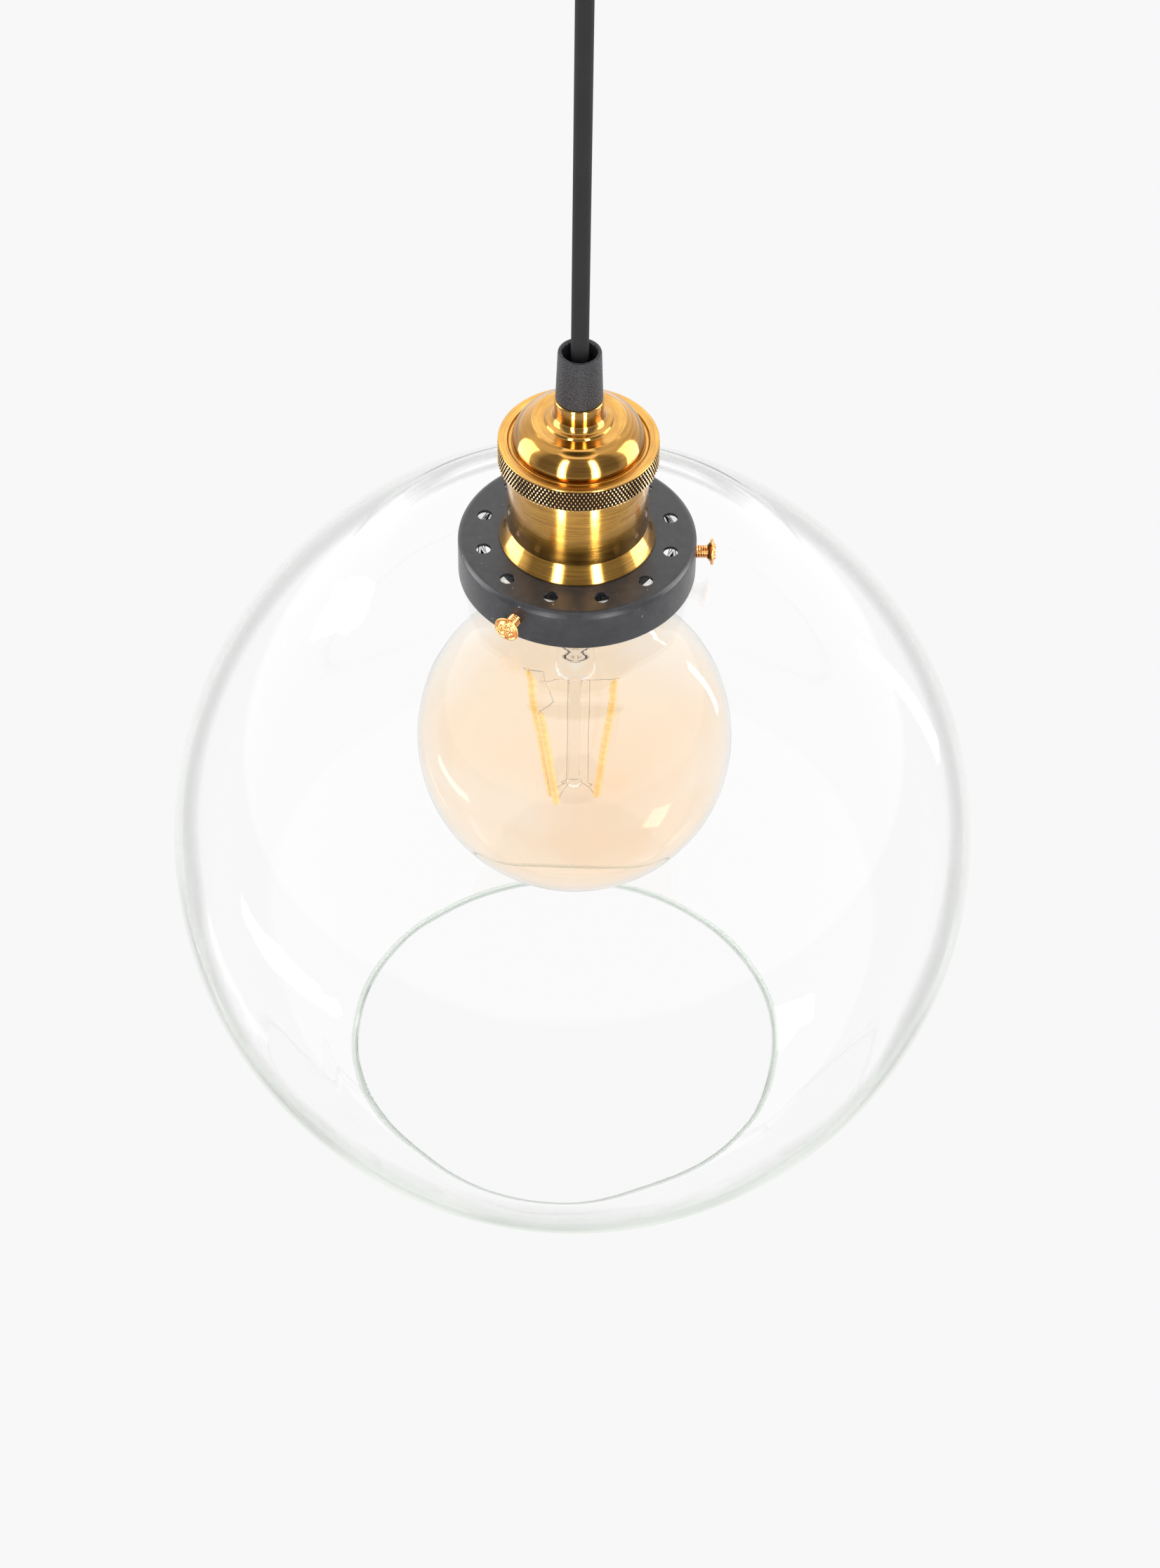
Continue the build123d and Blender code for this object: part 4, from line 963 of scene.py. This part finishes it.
GLASS = 2.6
MOUTH_DEPTH = 101.5
MOUTH_SHIFT = 1.3
GROUND_HEIGHT = 0.1
SHOULDER_START = 103.0
GLOBE_SHOULDER = (
    (58.0, 110.2), (46.0, 112.7), (38.0, 113.6), (33.4, 114.3),
    (30.7, 116.2), (29.3, 119.4), (29.3, 122.3),
)
GLOBE_LIP = [
    (30.4, 122.8), (31.5, 123.1), (32.15, 123.8), (32.3, 124.7), (32.0, 125.4), (31.3, 125.78),
    (30.0, 125.85), (28.3, 125.85), (27.3, 125.7), (26.8, 125.2), (26.7, 124.4),
]
BULB_GLASS = 0.9
BULB_NECK = (
    (26.6, 40.8), (20.6, 47.4), (16.4, 55.2), (13.6, 62.0), (12.75, 66.5), (12.75, 73.5),
)


def make_globe():
    """The blown globe: slightly uneven wall, wavy mouth with a ground edge, shoulder and lip."""
    radius = GLOBE_RADIUS / MM
    middle = radius - GLASS / 2
    low = -math.degrees(math.asin(MOUTH_DEPTH / middle))
    high = math.degrees(math.asin(SHOULDER_START / radius))
    wall = arc((0, 0), radius, low, high, 110)
    rise = curve([wall[-1], *GLOBE_SHOULDER], 6)
    inside = inner_skin(wall + rise[1:], GLASS)
    foot_out, foot_in = Vector(wall[0]), Vector(inside[-1])
    centre = (foot_out + foot_in) / 2
    across = (foot_in - foot_out) / 2
    down = Vector((across.y, -across.x)) * (1 if across.x < 0 else -1)
    # Known fault: these points run the wrong way round, so the edge folds into the wall.
    bead = []
    for step in range(1, 10):
        angle = math.pi * step / 10
        bead.append(tuple(centre - across * math.cos(math.pi - angle) + down * math.sin(angle)))
    bead.reverse()
    points = wall[:-1] + rise + GLOBE_LIP + inside + bead

    def near_mouth(height):
        return max(0.0, (-height - 92) / 10)

    def ripple(angle, height):
        """How far the hand-cut mouth rises and falls, fading out up the wall."""
        spot = Vector((2.2 * math.cos(angle), 2.2 * math.sin(angle), 3.1))
        return near_mouth(height) * 0.7 * noise.noise(spot)

    def relief(angle, reach, height):
        spot = Vector((math.cos(angle), math.sin(angle), height / radius)) * 1.6
        swell = 0.35 * noise.noise(spot) * min(1, reach / 60)
        if math.hypot(reach, height) < radius - 0.6 * GLASS:
            fade = min(1.0, max(0.0, (60 - height) / 80))
            swell += 0.35 * fade * noise.noise(spot * 2.1 + Vector((7, 3, 5)))
        turn = Vector((3.4 * math.cos(angle), 3.4 * math.sin(angle) + 5, 0))
        uneven = 0.5 * noise.noise(turn) - MOUTH_SHIFT * math.cos(angle)
        return (swell + near_mouth(height) * uneven, ripple(angle, height))

    globe = turned("blown_globe", points, GLOBE_Z, "clear_glass", 256, relief, sharp=180)
    globe.data.materials.append(MATERIALS["ground_glass"])
    for face in globe.data.polygons:
        angle = math.atan2(face.center.y, face.center.x)
        height = (face.center.z - GLOBE_Z) / MM - ripple(angle, -MOUTH_DEPTH)
        if height < GROUND_HEIGHT - MOUTH_DEPTH:
            face.material_index = 1
    stands_for(globe, "lamp", "clear_glass", "glass_globe")


def make_bulb():
    """The bulb's thin amber envelope, from its crown down to the neck in the cap."""
    radius = BULB_RADIUS / MM
    wall = arc((0, 0), radius, -90, 46, 90)
    neck = curve([wall[-1], *BULB_NECK], 8)

    def relief(angle, reach, height):
        spot = Vector((math.cos(angle), math.sin(angle), height / radius)) * 1.3
        return (0.14 * noise.noise(spot) * min(1, reach / 20), 0)

    outside = wall[:-1] + neck
    points = outside + inner_skin(outside, BULB_GLASS)[:-1] + [(0, BULB_GLASS - radius)]
    bulb = turned(
        "amber_bulb", points, BULB_Z, "amber_glass", 192, relief, closed=False, sharp=180
    )
    stands_for(bulb, "bulb", "amber_glass", "bulb_envelope")


def make_stem():
    """Glass stem: flared skirt, exhaust tube, pinch and the rod with its lower bead."""
    outside = curve(
        [(11.7, 118.0), (6.2, 108.0), (5.0, 90.0), (5.3, 77.0), (4.6, 72.0), (2.4, 69.4)], 8
    )
    foot = [(2.1, 25.2), (2.5, 23.6), (1.2, 22.6), (0, 22.5)]
    rod = curve([(1.9, 67.5), (1.8, 50.0), (1.85, 30.0), *foot], 5)
    inside = curve(
        [(0, 76.6), (2.6, 78.0), (3.9, 82.0), (3.9, 90.0), (5.1, 108.0), (10.6, 118.0)], 8
    )

    def relief(angle, reach, height):
        flat = max(0.0, 1 - abs(height - 73) / 7)
        return (reach * flat * (0.22 * math.cos(angle) ** 2 - 0.42 * math.sin(angle) ** 2), 0)

    points = outside + rod + inside
    shell = turned("glass_stem", points, GLOBE_Z, "clear_glass", 64, relief, sharp=180)
    stands_for(shell, "bulb", "clear_glass", "bulb_stem")


make_globe()
make_bulb()
make_stem()


# ---------------------------------------------------------------- filaments and wires

FILAMENT_TOPS = ((-14.1, 6.4, 65.0), (-10.2, -10.7, 65.0), (11.9, 2.4, 65.0))
FILAMENT_FEET = ((-7.0, 0.5, 17.0), (-5.3, -2.8, 17.0), (7.0, 0.5, 17.0))
FILAMENT_RADIUS = 1.14
CHIP_STEPS = 60
WIRE_RADIUS = 0.00013


def in_globe(point):
    """A point given in millimetres from the globe's centre, in metres in the frame."""
    return Vector((point[0] * MM, point[1] * MM, GLOBE_Z + point[2] * MM))


def make_filaments():
    """Three phosphor-coated sticks, lumpy over their chips, with bare metal ends."""
    for index, (top, foot) in enumerate(zip(FILAMENT_TOPS, FILAMENT_FEET)):
        start, end = in_globe(foot), in_globe(top)
        length = (end - start).length / MM
        side = [(0.0, -0.2), (0.75, 0.0), (1.05, 0.5)]
        for step in range(CHIP_STEPS + 1):
            height = 1.0 + (length - 2.2) * step / CHIP_STEPS
            lump = 0.025 * math.sin(step * 1.9)
            side.append((FILAMENT_RADIUS + lump + 0.02 * math.sin(step * 0.7), height))
        side += [(1.0, length - 0.4), (0.6, length + 0.5)]
        side += [(0.42, length + 1.4), (0.0, length + 1.6)]
        stick = turned(f"filament_{index}", side, 0, "yellow_phosphor", 24, closed=False, sharp=60)
        aim(stick, start, (end - start).normalized())
        stands_for(stick, "bulb", "yellow_phosphor")
        if index == 0:
            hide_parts("led_filaments")


def make_wires():
    """Support wires of the filaments, the zigzag link between two of them and the leads."""
    back, front, right = ((x, y, z + 1.2) for x, y, z in FILAMENT_TOPS)
    corner = (-9.2, 0.2, 66.4)
    routes = [
        [
            (back[0] - 1.6, back[1] + 0.4, back[2] + 0.4),
            back,
            (back[0] + 4.6, back[1] - 1.0, 66.5),
            corner,
            (-6.3, -7.2, 66.4),
            front,
            (front[0] - 0.7, front[1] - 0.8, front[2] - 0.5),
        ],
        [(-3.4, 0.9, 67.6), (-5.4, 1.0, 67.5), (-7.6, 0.5, 66.5), corner, (-10.4, 0.3, 66.4)],
        [
            (3.4, 0.5, 67.6),
            (5.6, 0.8, 67.4),
            right,
            (right[0] + 1.5, right[1] + 0.3, right[2] + 0.1),
        ],
        [(-2.3, 0, 24.6), (-2.1, 0.2, 48), (-2.2, 0, 69)],
        [(4.4, -0.6, 24.0), (4.2, -0.4, 46), (4.4, -0.3, 68.5)],
        [(4.4, -0.6, 24.0), (5.6, 0.2, 22.4), (4.9, 0.4, 21.6)],
        [(-2.3, 0, 24.6), (-3.9, 0.4, 23.2), (-3.2, 0.6, 22.0)],
    ]
    for foot in FILAMENT_FEET:
        reach = math.hypot(foot[0], foot[1])
        hook = (1.6 * foot[0] / reach, 1.6 * foot[1] / reach, 24.2)
        routes.append([hook, (0.7 * foot[0], 0.7 * foot[1], 21.0), (foot[0], foot[1], 16.4)])
    placed = [[in_globe(point) for point in route] for route in routes]
    wires = wire_curve("filament_wires", placed, WIRE_RADIUS, "nickel_plate")
    stands_for(wires, "bulb", "nickel_plate", "bulb_support_wires")


make_filaments()
make_wires()


# ---------------------------------------------------------------- E27 threads

EDISON_PITCH = 3.629
CAP_THREAD_DEPTH = 0.85
SHELL_THREAD_DEPTH = 0.3
SHEET = 0.0002


def thicken(piece):
    """Give a pressed sheet its thickness."""
    piece.modifiers.new("sheet", "SOLIDIFY").thickness = SHEET


def make_threads():
    """The rolled round threads of the bulb's cap and of the holder's contact shell."""
    cap_bottom, cap_top = (corner.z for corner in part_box("bulb_screw_cap"))
    cap_height = (cap_top - cap_bottom) / MM

    def wave(angle, height):
        return 0.5 - 0.5 * math.cos(TURN * (height / EDISON_PITCH - angle / TURN))

    def cap_relief(angle, radius, height):
        threaded = 4.0 < height < cap_height - 4.0 and radius > 12
        return (-CAP_THREAD_DEPTH * wave(angle, height) if threaded else 0, 0)

    side = [(13.1, 0.3 * step) for step in range(int(cap_height / 0.3) - 7)]
    edge = [(13.0, cap_height - 1.9), (9.4, cap_height - 0.1, 0.4), (9.0, cap_height - 0.3)]
    points = [(12.8, 0.0)] + side + outline(edge, closed=False)
    cap = turned("bulb_cap", points, cap_bottom, "nickel_plate", 96, cap_relief, closed=False)
    thicken(cap)
    stands_for(cap, "bulb", "nickel_plate", "bulb_screw_cap")

    shell_low, shell_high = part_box("socket_shell")
    shell_height = (shell_high.z - shell_low.z) / MM

    def shell_relief(angle, radius, height):
        threaded = 2.0 < height < shell_height - 3.0 and radius > 13
        return (-SHELL_THREAD_DEPTH * wave(angle, height) if threaded else 0, 0)

    side = [(13.75, 0.3 * step) for step in range(int(shell_height / 0.3) - 1)]
    points = side + [(13.6, shell_height - 0.15), (10.5, shell_height - 0.1)]
    shell = turned(
        "contact_shell", points, shell_low.z, "bright_brass", 96, shell_relief, closed=False
    )
    thicken(shell)
    stands_for(shell, "lamp", "bright_brass", "socket_shell")


make_threads()


# ---------------------------------------------------------------- stage and light

FLOOR_LEVEL = -2.3
FLOOR_REACH = 14.0
GLASS_PIECES = ("blown_globe", "amber_bulb", "glass_stem")
BRASS_PIECES = ("brass_cap", "brass_body", "knurled_rim")


def make_stage():
    """A wide pale floor below the lamp."""
    mesh = bpy.data.meshes.new("floor")
    corners = [(-1, -1), (1, -1), (1, 1), (-1, 1)]
    places = [(x * FLOOR_REACH, y * FLOOR_REACH, FLOOR_LEVEL) for x, y in corners]
    mesh.from_pydata(places, [], [(0, 1, 2, 3)])
    mesh.materials.append(floor_paint())
    show("floor", mesh)


def softbox(name, azimuth, low, high, distance, width, radiance):
    """An upright area light in metres round the lampholder; azimuth 0 is the front."""
    turn = math.radians(azimuth)
    away = Vector((math.sin(turn), -math.cos(turn), 0))
    data = bpy.data.lights.new(name, "AREA")
    data.shape = "RECTANGLE"
    data.size = width
    data.size_y = high - low
    data.energy = radiance * math.pi * width * (high - low)
    light = show(name, data)
    light.location = away * distance + Vector((0, 0, (low + high) / 2))
    light.rotation_euler = (-away).to_track_quat("-Z", "Y").to_euler()
    return light


def studio_world():
    """A bright room for glass and a floor-grey backdrop; brushed metal sees a dark front."""
    world = bpy.data.worlds.new("studio")
    world.use_nodes = True
    tree = world.node_tree
    background = tree.nodes["Background"]

    source = add_node(tree, "ShaderNodeTexCoord")
    split = add_node(tree, "ShaderNodeSeparateXYZ")
    tree.links.new(source.outputs["Generated"], split.inputs[0])
    front = maths(tree, "MULTIPLY", split.outputs["Y"], -1)
    turn = maths(tree, "ARCTAN2", split.outputs["X"], front)
    share = maths(tree, "DIVIDE", maths(tree, "ABSOLUTE", turn), math.pi)
    ramp = add_node(tree, "ShaderNodeValToRGB")
    stops = ((0.0, 0.38), (0.36, 0.38), (0.44, 1.3), (0.7, 1.4), (0.85, 1.9), (1.0, 1.9))
    fill_ramp(ramp, stops)
    tree.links.new(share, ramp.inputs["Fac"])
    high = add_node(tree, "ShaderNodeMapRange")
    for socket, value in ((1, 0.45), (2, 0.7), (3, 1.0), (4, 1.15)):
        high.inputs[socket].default_value = value
    tree.links.new(split.outputs["Z"], high.inputs[0])
    dim = add_node(tree, "ShaderNodeMix", data_type="RGBA", blend_type="MULTIPLY")
    dim.inputs[0].default_value = 1.0
    tree.links.new(ramp.outputs["Color"], dim.inputs[6])
    tree.links.new(high.outputs[0], dim.inputs[7])
    path = add_node(tree, "ShaderNodeLightPath")
    colour = dim.outputs[2]
    for ray, grey in (("Is Singular Ray", 1.25), ("Is Camera Ray", FLOOR_GREY)):
        mix = add_node(tree, "ShaderNodeMix", data_type="RGBA")
        mix.inputs[7].default_value = (grey, grey, grey, 1)
        tree.links.new(path.outputs[ray], mix.inputs[0])
        tree.links.new(colour, mix.inputs[6])
        colour = mix.outputs[2]
    tree.links.new(colour, background.inputs["Color"])
    background.inputs["Strength"].default_value = 1.0
    bpy.context.scene.world = world


def grouped(name, pieces):
    """A collection for light linking, outside the scene."""
    group = bpy.data.collections.new(name)
    for piece in pieces:
        group.objects.link(bpy.data.objects[piece])
    return group


def make_light():
    """Strips, sides and overhead spare the glass; windows light only it, sparks the brass."""
    studio_world()
    spared = grouped("glass", GLASS_PIECES)
    for entry in spared.collection_objects:
        entry.light_linking.link_state = "EXCLUDE"
    brass = grouped("brass", BRASS_PIECES)
    seen = grouped("windows", ("blown_globe", "amber_bulb"))
    lights = [
        (softbox("strip_left", -25.5, -2.2, 1.6, 1.5, 0.34, 10), spared),
        (softbox("strip_right", 27.5, -2.2, 1.6, 1.5, 0.34, 10), spared),
        (softbox("side_left", -98, -0.9, 1.3, 1.7, 0.9, 6), spared),
        (softbox("side_right", 98, -0.9, 1.3, 1.7, 0.9, 6), spared),
        (softbox("overhead", 0, 0.0, 0.5, 0.3, 0.9, 2.6), spared),
        (softbox("window_left", -132, 0.0, 0.46, 1.6, 0.4, 3.5), seen),
        (softbox("window_right", 128, -1.0, -0.2, 1.6, 0.12, 4), seen),
        (softbox("spark_left", -25.5, -2.2, 1.6, 1.49, 0.2, 16), brass),
        (softbox("spark_right", 27.5, -2.2, 1.6, 1.49, 0.2, 16), brass),
    ]
    for light, receivers in lights:
        light.light_linking.receiver_collection = receivers
    overhead = bpy.data.objects["overhead"]
    overhead.location.z = 1.1
    overhead.rotation_euler = (0, 0, 0)


make_stage()
make_light()
scene = bpy.context.scene
scene.view_settings.view_transform = "Standard"
